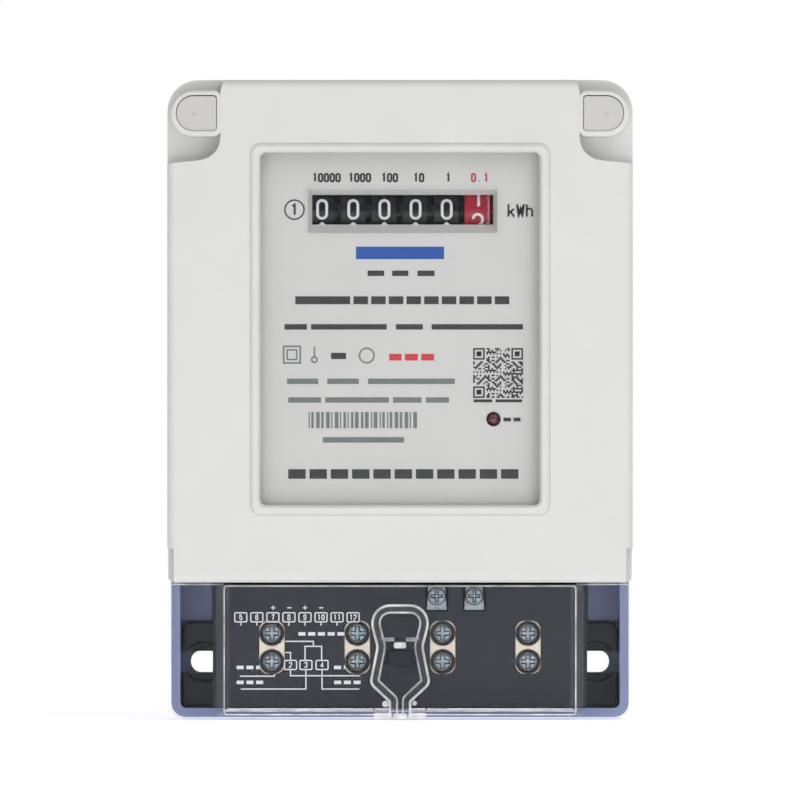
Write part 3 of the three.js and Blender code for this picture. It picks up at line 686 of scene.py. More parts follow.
def front_cover():
    """The white cover: window frame, sunken corners with their bosses, and the cut-in arms."""
    low, high = COVER_LOW, COVER_HIGH
    outside = rectangle((low.x, low.z), (high.x, high.z), 1.2, 7.5)
    edge = eased(FACE, 2.0, 8)
    shell = loft(outside, edge + [(high.y - 0.4, 0), (high.y, -0.15)])
    in_half = HALF_WIDTH - WALL
    inside = rectangle((-in_half, low.z + WALL), (in_half, high.z - WALL), 0.5, 5.3)
    cavity = slab(inside, FACE + WALL, high.y + 1)
    keep = []
    for side in SIDES.values():
        inner, outer = span(side, 41, 57)
        keep.append(block((inner, FACE - 1, 54), (outer, SHELF + WALL, 78)))
        keep.append(rod(5, FACE, high.y + 2, on_side(side, CORNER)))
        inner, outer = span(side, 52, 57)
        keep.append(block((inner, FACE - 1, low.z - 1), (outer, high.y + 2, -33.5)))
    shell = cut(shell, cut(cavity, *keep))
    (x0, z0), (x1, z1) = WINDOW
    ridge = rectangle((x0 - 2.05, z0 - 2.0), (x1 + 2.05, z1 + 1.8), 2.2)
    rise = [(FRONT, -0.45), (FRONT + 0.1, -0.2), (FRONT + 0.3, 0.02), (FACE, 0.35), (FACE + 0.5, 0.35)]
    shell = cut(shell, loft(ridge, [(FACE - 1, 0.62), (FACE + 0.02, 0.62), (FACE + 0.22, 0.36)]))
    shell = added(shell, loft(ridge, rise))
    for side in SIDES.values():
        shell = cut(shell, slab(shelf_outline(side), FRONT - 1, SHELF))
        boss = loft(cap_outline(side, 1.3), eased(FACE, 0.6, 5) + [(SHELF + 1, 0.25)])
        shell = added(shell, boss)
        arm_inner, arm_outer = span(side, 54.4, 57)
        shell = cut(
            shell,
            moved(slab(cap_outline(side, 0.1), FRONT - 1, -51.2), (0, 0, 0.08)),
            rod(3.6, -52, -24, on_side(side, CORNER)),
            rod(1.8, -25, -19, on_side(side, CORNER)),
            block((arm_inner, FRONT - 1, low.z - 1), (arm_outer, -30, ARM_TOP)),
        )
    mouth = [(FRONT - 0.5, 0.75), (FRONT, 0.75), (FRONT + 0.25, 0.4), (FRONT + 0.9, 0.05)]
    mouth.append((FACE + 3.5, -0.05))
    shell = cut(shell, loft(rectangle(*WINDOW, 1.3), mouth))
    pegs = [rod(2, FACE + 1, PLATE_FRONT - 0.1, (x, 0, z), sides=24) for x in (-39, 39) for z in (-30, 64)]
    shell = added(shell, *pegs)
    piece(shell, "cover_shell", "case_white", "case", ["front_cover"], 0.18)


def corner_caps():
    """The two caps over the case screws."""
    for name, side in SIDES.items():
        plug = loft(cap_outline(side, 0), eased(FACE + 0.25, 0.3, 4) + [(CAP_HIGH.y, 0)])
        pit = turned([(0, -56), (0.75, -56), (0.6, FACE + 0.3), (0.3, FACE + 0.55), (0, FACE + 0.6)], 24)
        plug = cut(plug, moved(pit, (side * 49.7, 0, 69)))
        node = f"corner_cap_{name}"
        piece(plug, f"cap_{name}", "cap_grey", node, [node], 0.05)


def base_shell():
    """The blue tray at the back, with its mounting slots and the hanger's seat."""
    low, high = BASE_LOW, BASE_HIGH
    wall, floor = WALL, -2.5
    outside = rectangle((low.x, low.z), (high.x, high.z), 3.5, 7.2)
    back_radius = 1.6
    angles = [math.radians(15 * step) for step in range(7)]
    back_edge = [(high.y + back_radius * (math.sin(a) - 1), back_radius * (math.cos(a) - 1)) for a in angles]
    shell = loft(outside, [(low.y, -0.2), (low.y + 0.3, 0)] + back_edge)
    inside = rectangle((low.x + wall, low.z + wall), (high.x - wall, high.z - wall), 1.5, 5)
    shell = cut(shell, slab(inside, low.y - 1, floor))
    for side in SIDES.values():
        inner, outer = span(side, EAR["inner"] + 0.4, high.x - wall + 0.5)
        shell = added(
            shell,
            block((inner, low.y, COVER_BOTTOM), (outer, floor + 0.5, COVER_BOTTOM + 2.2)),
            block((inner, LEDGE_FRONT, EAR["high"] + 0.3), (outer, floor + 0.5, COVER_BOTTOM + 0.5)),
            rod(3.6, low.y + 0.1, floor + 0.5, on_side(side, CORNER)),
            rod(5, -4.5, floor + 0.5, on_side(side, BLOCK_SCREW)),
            *[rod(3, -9.6, floor + 0.5, (side * BOARD_SCREW_X, 0, z)) for z in BOARD_SCREW_Z],
        )
    shell = added(shell, block((-13, -7.5, 46), (13, floor + 0.5, 73)))
    hanger_seat = slab(rectangle((-10, 48), (10, 71), 2.2), -1.6, 1)
    shell = cut(shell, slab(rectangle((-6.5, 51), (6.5, 68), 2), -5.5, 1), hanger_seat)
    for side in SIDES.values():
        ends = span(side, SLOT["inner"], SLOT["outer"])
        slot = rectangle((ends[0], SLOT["z"] - SLOT["radius"]), (ends[1], SLOT["z"] + SLOT["radius"]), 2.5)
        shell = cut(
            shell,
            slab(slot, -8, 1),
            rod(1.75, -24, -8, on_side(side, CORNER)),
            rod(1.8, -6, 1, on_side(side, BLOCK_SCREW)),
            rod(3.2, -2.3, 1, on_side(side, BLOCK_SCREW)),
            *[rod(1, -12, -4, (side * BOARD_SCREW_X, 0, peg)) for peg in BOARD_SCREW_Z],
        )
    # shallow panels and ribs moulded in the back
    panels = [((-48, -38), (-14, 40)), ((14, -38), (48, 40)), ((-9, -38), (9, 40)), ((-34, -72), (34, -46))]
    shell = cut(shell, *[slab(rectangle(*panel, 3), -0.7, 1) for panel in panels])
    piece(shell, "base_tray", "case_blue", "case", ["base_shell"], 0.25)


# ---- nameplate, register window and lamp


def register_bezel():
    """A sloped frame round the drums, with a small pointer under each figure."""
    front, back = PLATE_FRONT - 0.25, -48.0
    frame_block = slab(rectangle(*BEZEL, 0.3), front, back)
    (x0, z0), (x1, z1) = BEZEL
    sill = BEZEL_OPENING[0][1]
    rim = 0.06
    bm = bmesh.new()
    wide, narrow = rectangle((x0 + rim, z0 + rim), (x1 - rim, z1 - rim)), rectangle(*BEZEL_OPENING)
    depths = [(front - 1, wide), (front, wide), (back + 0.35, narrow), (back + 1, narrow)]
    skin(bm, [[(x, y, z) for x, z, _ in ring] for y, ring in depths])
    flange = slab(rectangle((x0 - 0.4, z0 - 0.4), (x1 + 0.4, z1 + 0.4), 0.4), front, PLATE_FRONT - 0.03)
    bezel = cut(added(frame_block, flange), as_object(bm))
    pointers = []
    for x in DRUM_X[:-1]:
        shape = [(x - 0.9, sill - 0.4, 0), (x + 1.2, sill - 0.4, 0), (x + 0.15, sill + 0.42, 0.1)]
        pointers.append(slab(shape, back + 0.02, back + 0.5))
        pointers[-1].data.transform(Matrix.Translation((0, -0.2, 0)))
    bezel = added(bezel, *pointers)
    piece(bezel, "register_frame_rim", "bezel_grey", "case", ["register_bezel"], 0.06)


def pulse_lamp():
    """The lamp's dome and legs, and the dark rim round it."""
    x, z = LAMP
    back = box_mm("pulse_lamp")[1].y
    dome = [(0, -51.2), (0.5, -51.17), (0.95, -51.0), (1.3, -50.7), (1.5, -50.2)]
    dome += [(1.5, -46), (1.9, -46), (1.9, -45), (0, -45)]
    lamp = turned(dome, 40, at=(x, 0, z))
    legs = []
    for leg in (x - 1.27, x + 1.27):
        legs.append(block((leg - 0.25, -45.2, z - 0.25), (leg + 0.25, back, z + 0.25)))
    lamp = joined([lamp, *legs])
    piece(lamp, "pulse_lamp_dome", "lamp_red", "case", ["pulse_lamp"], 0.05)
    ring_profile = [(0, -50.9), (1.74, -50.9), (1.74, PLATE_FRONT + 0.3), (0, PLATE_FRONT + 0.3)]
    ring = turned(ring_profile, 40, at=(x, 0, z))
    ring = cut(ring, rod(1.52, -52, -49, (x, 0, z)))
    piece(ring, "lamp_rim", "frame_black", "case", (), 0.05)


# rows of the printed plate: ink, height, middle z and the x spans of its words
PRINT_ROWS = [
    ("ink_blue", 3.0, 35.4, [(-10.6, 10.6)]),
    ("ink_black", 1.3, 30.5, [(-7.8, -3.8), (-1.9, 2.0), (4.2, 8.3)]),
    ("ink_black", 1.9, 24.0, [(-25.2, -12.0)] + [(-11.2 + 4.25 * i, -7.7 + 4.25 * i) for i in range(9)]),
    ("ink_black", 1.3, 17.6, [(-27.8, -22.4), (-21.4, -3.2), (-1.0, 5.5), (7.6, 29.6)]),
    ("ink_black", 1.5, 10.6, [(-16.6, -13.0)]),
    ("ink_red", 1.6, 10.3, [(-2.6, 0.4), (1.2, 4.3), (5.1, 8.2)]),
    ("ink_grey", 1.3, 4.5, [(-27.2, -19.7), (-17.5, -9.9), (-7.7, 13.2)]),
    ("ink_grey", 1.3, 0.0, [(-26.9, -19.0), (-18.0, -2.7), (-1.7, 5.2), (6.2, 11.8)]),
    ("ink_grey", 1.3, -9.6, [(-18.6, 1.0)]),
    ("ink_black", 2.3, -17.8, [(-26.9 + 5.12 * i, -22.7 + 5.12 * i) for i in range(11)]),
    ("ink_black", 0.7, -0.2, [(17.7, 22.2), (23.0, 29.4)]),
    ("ink_black", 0.9, -4.7, [(24.9, 26.7), (27.3, 29.0)]),
]


def printed_bars(bm, placed):
    """A plain run of upright bars, wide and narrow by a fixed rule."""
    x = -22.0
    for step in range(26):
        width = 0.3 + 0.3 * ((step * 7 + step // 3) % 3)
        draw_bar(bm, (x, -6.8), (x + width, -2.9), placed)
        x += width + 0.35 + 0.2 * ((step * 5) % 2)
        if x > 4.4:
            break


def printed_square(bm, placed):
    """A dense chequer of small squares that holds no code, with a plain frame in three corners."""
    x0, z0, cell, count, edge = 17.6, 0.5, 0.4, 30, 8
    for left, low in ((0, 0), (0, count - 7), (count - 7, count - 7)):
        x, z = x0 + left * cell, z0 + low * cell
        for inset, width in ((0.2, 0.4), (1.2, 0.8)):
            corners = rectangle((x + inset, z + inset), (x + 2.8 - inset, z + 2.8 - inset))
            draw_line(bm, corners, width, placed, closed=True)
    for row in range(count):
        for column in range(count):
            left, right, top, bottom = column < edge, column >= count - edge, row >= count - edge, row < edge
            framed = (left and bottom) or (left and top) or (right and top)
            if not framed and (row * row * 3 + column * 7 + row * column * 5 + column // 3) % 11 < 5:
                x, z = x0 + column * cell, z0 + row * cell
                draw_bar(bm, (x, z), (x + cell, z + cell), placed)


def nameplate_print():
    """Figures, units and rules on the plate, with plain bars wherever it carries wording."""
    placed = on_plane(PLATE_FRONT)
    sheets = {}

    def sheet(name):
        return sheets.setdefault(name, bmesh.new())

    labels = [("10000", -17.7), ("1000", -9.7), ("100", -2.5), ("10", 4.5), ("1", 11.6)]
    for text, x in labels:
        draw_figures(sheet("ink_black"), text, (x, 53.5), (0.84, 1.8), 1.4, 0.5, placed)
    draw_figures(sheet("ink_brick"), "0.1", (19.2, 53.5), (0.8, 1.85), 1.5, 0.44, placed)
    draw_figures(sheet("ink_black"), "kWh", (29.0, 45.6), (1.55, 3.0), 2.2, 0.5, placed)
    draw_circle(sheet("ink_black"), (-25.4, 45.8), 2.3, 0.36, placed)
    draw_figure(sheet("ink_black"), "1", (-25.45, 45.8), (1.4, 2.5), 0.52, placed)
    for name, height, z, spans in PRINT_ROWS:
        for start, end in spans:
            draw_bar(sheet(name), (start, z - height / 2), (end, z + height / 2), placed)
    for half, width in ((2.0, 0.4), (1.15, 0.35)):
        square = rectangle((-26.0 - half, 10.9 - half), (-26.0 + half, 10.9 + half))
        draw_line(sheet("ink_grey"), square, width, placed, closed=True)
    draw_circle(sheet("ink_grey"), (-20.6, 9.7), 0.65, 0.4, placed)
    draw_line(sheet("ink_grey"), [(-20.6, 10.4), (-20.6, 12.9)], 0.35, placed)
    draw_circle(sheet("ink_grey"), (-8.0, 10.7), 1.75, 0.4, placed)
    printed_bars(sheet("ink_grey"), placed)
    printed_square(sheet("ink_black"), placed)
    for name, bm in sheets.items():
        piece(as_object(bm), f"plate_{name}", "nameplate", material=name)


# ---- register drums


def gear_teeth(module, teeth, start, end):
    """A spur gear along X with straight flanks, about the drum's axis."""
    pitch = module * teeth / 2
    tip, root = pitch + 0.8 * module, pitch - 1.05 * module
    step = 2 * math.pi / teeth
    ring = []
    for tooth in range(teeth):
        for radius, share in ((root, -0.3), (tip, -0.12), (tip, 0.12), (root, 0.3)):
            angle = (tooth + share) * step
            ring.append((radius * math.cos(angle), radius * math.sin(angle)))
    bm = bmesh.new()
    skin(bm, [[(x, y, z) for y, z in ring] for x in (start, end)])
    return as_object(bm)


def drum(name, x):
    """A number drum with its gear and its figures; the tenths drum is red and has fine ticks."""
    tenths = name == "drum_tenths"
    half, bore = DRUM_HALF, 1.2
    solid = turned([
        (0, -half), (2.6, -half), (2.6, 2.1), (8.8, 2.1), (8.8, -half), (9.85, -half),
        (DRUM_RADIUS, -half + 0.15), (DRUM_RADIUS, half - 0.15), (9.85, half), (0, half),
    ], 96, "x")
    module, count = (0.6, 24) if tenths else (0.8, 20)
    teeth = gear_teeth(module, count, half - 0.1, half + 1)
    solid = added(solid, teeth)
    solid = cut(solid, rod(bore, -half - 1, half + 2, (0, 0, 0), "x", 24))
    moved(solid, (x, *DRUM_AXIS))
    slot = "drum_red" if tenths else "drum_black"
    piece(solid, f"{name}_wheel", slot, name, [name])
    bm = bmesh.new()
    placed = on_drum(x)
    pitch = 2 * math.pi * DRUM_RADIUS / 10
    shown = 1.465 if tenths else 0.0
    for digit in range(10):
        height = -(digit - shown) * pitch
        draw_figure(bm, str(digit), (0.15, height), (2.2, 4.35), 0.64, placed, 0.5)
        if tenths:
            for tick in range(10):
                length = 0.75 if tick == 5 else 0.45
                z = height + (tick - 5) * pitch / 10
                draw_bar(bm, (half - 0.15 - length, z - 0.09), (half - 0.15, z + 0.09), placed)
    piece(as_object(bm), f"{name}_figures", slot, name, material="ink_digit")


# ---- terminals


# head radius, head height, shank radius, length and width of the cross
SCREW_SIZES = {
    "terminal": (2.5, 3.0, 1.75, 8.2, 1.05),
    "aux": (2.2, 2.2, 1.2, 11, 0.7),
    "case": (3.2, 2.4, 1.5, 15, 1.0),
    "block": (2.9, 1.9, 1.15, 12, 0.9),
}


def cross_screw(name, node, at, size, body="case", back=False):
    """A cross-slotted pan-head screw along Y with the front of its head at the point."""
    head, head_height, shank, length, slot_width = SCREW_SIZES[size]
    dome = [(0, 0), (0.4, 0.02), (0.68, 0.07), (0.86, 0.15), (0.95, 0.27), (1, 0.5)]
    dome = [(radius * head, y * 0.5 * head) for radius, y in dome] + [(head, head_height)]
    profile = dome + [(shank, head_height)]
    pitch = 0.5
    turns = int((length - head_height - 0.6) / pitch)
    for turn in range(turns):
        y = head_height + 0.3 + turn * pitch
        profile += [(shank, y), (shank * 0.84, y + pitch / 2)]
    profile += [(shank * 0.8, length - 0.2), (shank * 0.6, length), (0, length)]
    screw = turned(profile, 40)
    reach, depth, half = 0.68 * head, 0.6 * head_height, slot_width / 2
    for long_x, long_z in ((reach, half), (half, reach)):
        ring = rectangle((-long_x, -long_z), (long_x, long_z), 0.06)
        screw = cut(screw, loft(ring, [(-1, 0.14), (0.1, 0.1), (depth, -0.22)]))
    if back:
        screw.data.transform(Matrix.Rotation(math.pi, 4, "Z"))
    moved(screw, at)
    return piece(screw, name, "zinc", body, [node], 0.05)


def screws():
    """Every cross-slotted screw of the object but the board's."""
    for i, x in enumerate(TERMINALS, 1):
        for row, z in SCREW_ROWS.items():
            node = f"terminal_screw_{i}_{row}"
            cross_screw(f"screw_{i}_{row}", node, (x, -38.6, z), "terminal", node)
    for i, x in enumerate(AUX, 1):
        node = f"aux_screw_{i}"
        cross_screw(f"small_screw_{i}", node, (x, -39.6, AUX_Z), "aux", node)
    for name, side in SIDES.items():
        x, z = side * CORNER[0], CORNER[1]
        cross_screw(f"long_screw_{name}", f"case_screw_{name}", (x, -26.5, z), "case")
        x, z = side * BLOCK_SCREW[0], BLOCK_SCREW[1]
        cross_screw(f"rear_screw_{name}", f"block_screw_{name}", (x, -0.3, z), "block", back=True)


def terminal_cages():
    """Each terminal's metal cage, with the counterbores of its screws and the bore for its cable."""
    for i, x in enumerate(TERMINALS, 1):
        low, high = -66.1, -53.25
        cage = added(
            slab(rectangle((x - 3.05, low), (x + 3.05, high), 2.3), -39.3, -33),
            block((x - 4.5, -33.4, low), (x + 4.5, -14, high)),
            block((x - 2, -16, -54), (x + 2, -14, -33)),
        )
        cage = cut(cage, bore_up(x, 3.2, -67, -54.5))
        for z in SCREW_ROWS.values():
            cage = cut(cage, rod(2.75, BLOCK_FACE, -32.4, (x, 0, z)), rod(2, -33, CABLE_Y, (x, 0, z)))
        node = f"main_terminal_{i}"
        piece(cage, f"terminal_cage_{i}", "terminal_metal", "case", [node], 0.1)


def bore_up(x, radius, low, high):
    """A round cutter along Z at a cable's place."""
    bore = rod(radius, 0, high - low, (0, 0, 0))
    bore.data.transform(Matrix.Rotation(math.pi / 2, 4, "X"))
    return moved(bore, (x, CABLE_Y, low))


def terminal_rings():
    """A black ring round the head of each terminal screw: painted shade for the dark gap between the head and
    its counterbore.
    """
    for i, x in enumerate(TERMINALS, 1):
        for row, z in SCREW_ROWS.items():
            # a black ring of painted shade over the gap round the screw head
            shade_ring = rod(3.02, BLOCK_FACE - 0.02, -39.2, (x, 0, z))
            shade_ring = cut(shade_ring, rod(2.6, -41, -39, (x, 0, z)))
            name = f"terminal_shade_ring_{i}_{row}"
            piece(shade_ring, name, "block_black", "case", (), 0.04, "frame_black")


def terminal_block():
    """The black block: ears, terminal wells, cable bores and the catch."""
    high, bottom, top = BLOCK_HIGH.z, -74.0, -44.4
    body = added(
        block((-FACE_HALF, BLOCK_FACE, bottom), (FACE_HALF, BLOCK_BACK, top)),
        block((-SHOULDER[0], SHOULDER[1], bottom), (SHOULDER[0], BLOCK_BACK, top)),
        block((-SHOULDER[0], -19.9, top - 0.5), (SHOULDER[0], BLOCK_BACK, high)),
        slab([(-2.8, -64, 0), (2.8, -64, 0), (2.8, -60.6, 0.6), (-2.8, -60.6, 0.6)], -43.4, BLOCK_FACE + 0.5),
    )
    for side in SIDES.values():
        ear = [(EAR["inner"] - 1, EAR["low"], 0), (EAR["outer"], EAR["low"], 1.5),
               (EAR["outer"], EAR["high"], 2.4), (EAR["inner"] - 1, EAR["high"], 0)]
        body = added(body, loft(mirrored(ear, side), eased(EAR["front"], 0.5, 4) + [(BLOCK_BACK, 0)]))
    for side in SIDES.values():
        z, radius = SLOT["z"], SLOT["radius"]
        slot = [
            (SLOT["inner"], z - radius, 2.5), (54, z - radius, 0),
            (54, z + radius, 0), (SLOT["inner"], z + radius, 2.5),
        ]
        spot = turned([(0, -13), (5.0, -13), (5.0, -9.6), (4.6, -9), (0, -9)], 48, at=(side * 47.6, 0, z))
        body = cut(
            body,
            slab(mirrored(slot, side), EAR["front"] - 1, BLOCK_BACK + 1),
            spot,
            rod(5.3, -4.8, BLOCK_BACK + 1, on_side(side, BLOCK_SCREW)),
            rod(1.3, -14, BLOCK_BACK + 1, on_side(side, BLOCK_SCREW)),
        )
    cutters = []
    for x in TERMINALS:
        cutters += [
            slab(rectangle((x - 3.15, -66.2), (x + 3.15, -53.15), 2.4), BLOCK_FACE - 1, -33),
            block((x - 4.8, -33.7, -66.4), (x + 4.8, BLOCK_BACK + 1, -53)),
            block((x - 2.3, -16.3, -54), (x + 2.3, BLOCK_BACK + 1, -35)),
            bore_up(x, 3.8, bottom - 1, -66),
        ]
    for x in AUX:
        cutters.append(block((x - 2.8, BLOCK_FACE - 1, -51), (x + 2.8, -36, top + 1)))
        cutters.append(rod(1.5, -37, -27, (x, 0, AUX_Z)))
    # shallow grooves part the face into its printed fields
    for z in (-52.0, -70.2):
        low, far = (-FACE_HALF - 1, BLOCK_FACE - 1, z - 0.12), (FACE_HALF + 1, BLOCK_FACE + 0.12, z + 0.12)
        cutters.append(block(low, far))
    body = cut(body, *cutters)
    piece(body, "terminal_body", "block_black", "case", ["terminal_block"], 0.15)


def clear_of_screws(left, right, z, half):
    """Where a printed bar ends so that it stays off the black rings of painted shade round the terminal
    screws.
    """
    # the reach of the black ring of painted shade round each screw
    shade_ring = 3.1
    for x in TERMINALS:
        for row in SCREW_ROWS.values():
            nearest = max(0, abs(z - row) - half)
            if nearest < shade_ring:
                reach = math.sqrt(shade_ring**2 - nearest**2)
                if left < x + reach and right > x - reach:
                    right = min(right, x - reach)
    return right


WIRES = [
    [(-27.6, -58.2), (-20.9, -58.2), (-20.9, -59.4)],
    [(-22.9, -62.6), (-22.9, -59.4), (-18.9, -59.4), (-18.9, -62.6)],
    [(-27.6, -60.9), (-26.4, -60.9), (-26.4, -62.6)],
    [(-38.6, -66.6), (-30.3, -66.6), (-30.3, -66.1)],
    [(-26.4, -65.2), (-26.4, -66.5), (-9.6, -66.5)],
    [(-38.4, -69.7), (-22.7, -69.7), (-22.7, -65.2)],
    [(-18.8, -65.2), (-18.8, -69.7), (-9.8, -69.7)],
]


def block_print():
    """The wiring diagram and the terminal numbers on the block's face."""
    bm = bmesh.new()
    placed = on_plane(BLOCK_FACE)
    line = 0.3
    for number in range(5, 13):
        x = -38.4 + 3.87 * (number - 5)
        numbered_box(bm, str(number), (x, -52.4), placed)
        if abs(x - TERMINALS[0]) > 2 and abs(x - TERMINALS[1]) > 2:
            draw_line(bm, [(x, -53.6), (x, -54.4)], line, placed)
    for x, mark in ((-30.6, "+"), (-26.7, "-"), (-22.9, "+"), (-19.0, "-")):
        draw_figure(bm, mark, (x, -50.1), (1.0, 2.0), line, placed)
    for number, x in ((2, -26.4), (3, -22.7), (4, -18.8)):
        numbered_box(bm, str(number), (x, -63.9), placed)
    for wire in WIRES:
        draw_line(bm, wire, line, placed)
    runs = [(start, 3, z) for start in (-39.4, -15.9) for z in (-64.5, -68.1)] + [(-24.5, 5, -56.4)]
    for start, count, z in runs:
        for word in range(count):
            x = start + 2.35 * word
            end = clear_of_screws(x, x + 1.7, z, 0.42)
            if end - x > 0.3:
                draw_bar(bm, (x, z - 0.42), (end, z + 0.42), placed)
    piece(as_object(bm), "terminal_diagram", "block_black", material="ink_white")


def numbered_box(bm, number, centre, placed):
    """A small box with its terminal's number."""
    x, z = centre
    corners = rectangle((x - 1.45, z - 1.1), (x + 1.45, z + 1.1), 0.3)
    ribbon(bm, rounded(corners), 0.3, placed, closed=True)
    draw_figures(bm, number, centre, (0.55, 1.2), 0.98, 0.26, placed)


def aux_clamps():
    """A square pressure plate with its lower edge turned out."""
    for i, x in enumerate(AUX, 1):
        low, high = box_mm(f"aux_clamp_{i}")
        low_z, high_z = AUX_Z - 3.4, AUX_Z + 2.2
        shape = [(x - 2.5, low_z, 0), (x + 2.5, low_z, 0), (x + 2.1, high_z, 0.4), (x - 2.1, high_z, 0.4)]
        clamp = cut(slab(shape, low.y, high.y), rod(1.4, -39, -34, (x, 0, AUX_Z)))
        node = f"aux_clamp_{i}"
        piece(clamp, f"aux_pressure_plate_{i}", "zinc", "case", [node], 0.12)


# ---- clear cover


def well_outline(wall):
    """The latch well's outline, grown outward by a wall."""
    right = [
        (6 + wall, -50.1 + wall, 3.6 + wall), (6 + wall, -54.4, 4), (4.7 + wall, -59.4, 4),
        (6.4 + wall, -68, 1.5), (1.8 + wall, -72.3, 1), (1.8 + wall, CLEAR_LOW.z - 1, 0),
    ]
    return right + [(-x, z, radius) for x, z, radius in reversed(right)]


def tapered(front, back, profile):
    """A solid whose outline changes from one to another; profile lists (y, share of the change, grow)."""
    bm = bmesh.new()
    rings = []
    for y, share, grow in profile:
        corners = []
        for (x0, z0, radius), (x1, z1, _) in zip(front, back):
            corners.append((x0 + (x1 - x0) * share, z0 + (z1 - z0) * share, radius))
        rings.append([(point.x, y, point.y) for point in rounded(corners, grow)])
    skin(bm, rings)
    return as_object(bm)


def well_cut(floor):
    """The latch well down to a floor, with a rounded rim and a fillet at its foot."""
    rim = [(-1, 0.9), (0, 0.9), (0.12, 0.62), (0.35, 0.42), (0.7, 0.3)]
    foot = [(-0.9, -0.75), (-0.5, -0.87), (-0.2, -1.07), (0, -1.35)]
    profile = [(BOX_FRONT + y, grow) for y, grow in rim] + [(floor + y, grow) for y, grow in foot]
    return loft(well_outline(0), profile)


def clear_cover():
    """The clear cover over the terminals, with its raised box and the latch well."""
    low, high = CLEAR_LOW, CLEAR_HIGH
    half, bottom, top = high.x, low.z, -44.3
    wings = loft(rectangle((-half, bottom), (half, top), 3.7, 0), eased(WING_FRONT, 0.35, 4) + [(high.y, 0)])
    front, root = rectangle((-42.5, -75.9), (42.5, -44.6), 0.9), rectangle((-44.4, -76.3), (44.4, -44.5), 0.9)
    edge = [(y, 0, grow) for y, grow in eased(BOX_FRONT, 0.5, 5)]
    raised = tapered(front, root, edge + [(WING_FRONT + 1, 1, 0)])
    inner_front, inner_root = rectangle((-41.1, -74.2), (41.1, -40)), rectangle((-42.9, -75.3), (42.9, -40))
    hollow = rectangle((-half + 2, bottom + 1.6), (half - 2, -40), 2.1, 0)
    cover = cut(
        added(wings, raised),
        slab(hollow, WING_FRONT + CLEAR_WALL, high.y + 1),
        tapered(inner_front, inner_root, [(BOX_FRONT + 1.5, 0, 0), (WING_FRONT + 2, 1, 0)]),
    )
    ledge, floor, back = -44.4, -42.0, -40.6
    well = loft(well_outline(0), [(BOX_FRONT + 0.5, 1.1), (back, 0.4)])
    well = combined("INTERSECT", well, [block((-20, BOX_FRONT, -75.8), (20, back, -44.8))])
    ribs = [block((x - 0.18, BOX_FRONT + 0.4, -75.6), (x + 0.18, -41.5, -70)) for x in (-6.3, 6.3)]
    cover = added(cover, well, *ribs)
    foot_limit = tapered(
        rectangle((-20, -90), (20, -57.2)), rectangle((-20, -90), (20, -58.4)),
        [(BOX_FRONT - 2, 0, 0), (ledge - 0.1, 0, 0), (floor + 0.5, 1, 0)],
    )
    lower = combined("INTERSECT", well_cut(floor), [foot_limit])
    mark = rectangle((-2.15, -56.8), (2.15, -55.2), 0.75)
    cover = cut(
        cover, well_cut(ledge), lower,
        block((-3.2, -46, -64.4), (3.2, -40, -60.2)),
        block((-1.4, -46, -58.15), (1.4, -40, -57.2)),
        slab(mark, -45, ledge + 0.25),
    )
    for side in SIDES.values():
        inner, outer = span(side, 54.7, half)
        cover = added(cover, block((inner, -37.6, top - 0.5), (outer, -30.3, ARM_TOP - 0.4)))
    notches = [slab(rectangle((x - 3.8, -80), (x + 3.8, -74.9)), -33, high.y + 1) for x in TERMINALS]
    cover = cut(cover, *notches)
    window = piece(
        cover, "terminal_window", "cover_clear", "terminal_cover", ["terminal_cover"], 0.2,
    )
    # the second material is a painted highlight: faces that lean, and the sill at the box's foot, take it
    window.data.materials.append(MATERIALS["cover_edge_highlight"])
    for face in window.data.polygons:
        leans = 0.3 < abs(face.normal.y) < 0.985
        rim = abs(face.center.x) > (half - 0.5) * MM or face.center.z < (bottom + 0.4) * MM
        sill = face.normal.z > 0.9 and face.center.z < -73.5 * MM and face.center.y < WING_FRONT * MM
        face.material_index = 1 if (leans and not rim) or sill else 0


def latch_foot():
    """Small solid lugs of the clear cover, which carry the same painted highlight as its edges."""
    lugs = [slab(rectangle((-1.5, -59.9), (1.5, -58.4), 0.5), -43.1, -42.05)]
    for side, radius in ((-1, 0.8), (1, 0.6)):
        lugs.append(slab(mirrored(rectangle((1.9, -76.9), (6.4, -75.4), 0.6), side), -39.6, -38.05))
        lugs.append(rod(radius, BOX_FRONT + 1.6, BOX_FRONT + 2.6, (side * 3.5, 0, -72.4 - radius), sides=24))
    lugs.append(slab(rectangle((-1.7, -76.9), (1.7, -75.6), 0.3), -39.2, -38.05))
    piece(joined(lugs), "window_lugs", "cover_clear", "terminal_cover", (), 0.15, "cover_edge_highlight")


# ---- carried-over nodes


def carried_over():
    """The CAD nodes whose shape is right get eased edges and their own finish."""
    slots = {
        "window_lens": "lens_clear", "nameplate": "nameplate", "case_gasket": "rubber",
        "register_frame": "frame_black", "drum_shaft": "steel", "pinion_shaft": "steel",
        "idler_pin": "steel", "idler_gear": "nylon", "stepper_rotor": "magnet",
        "stepper_stator": "lamination", "stepper_coil": "copper", "circuit_board": "board_green",
        "metering_chip": "frame_black", "supply_capacitor": "capacitor_sleeve",
        "transformer_core": "lamination", "transformer_coil": "tape_amber", "current_shunt": "copper",
        "hanger_plate": "hanger_steel",
    }
    slots.update({f"transfer_pinion_{i}": "nylon" for i in range(1, 6)})
    slots.update({f"board_screw_{i}": "zinc" for i in (1, 2)})
    for name, slot in slots.items():
        node = NODES[name]
        node.data.materials.clear()
        node.data.materials.append(MATERIALS[slot])
        tidy = node.modifiers.new("flat faces", "DECIMATE")
        tidy.decimate_type = "DISSOLVE"
        tidy.angle_limit = math.radians(1)
        bevel = node.modifiers.new("edges", "BEVEL")
        bevel.width = 0.12 * MM
        bevel.segments = 2
        bevel.limit_method = "ANGLE"
        bevel.angle_limit = math.radians(40)


# ---- stage


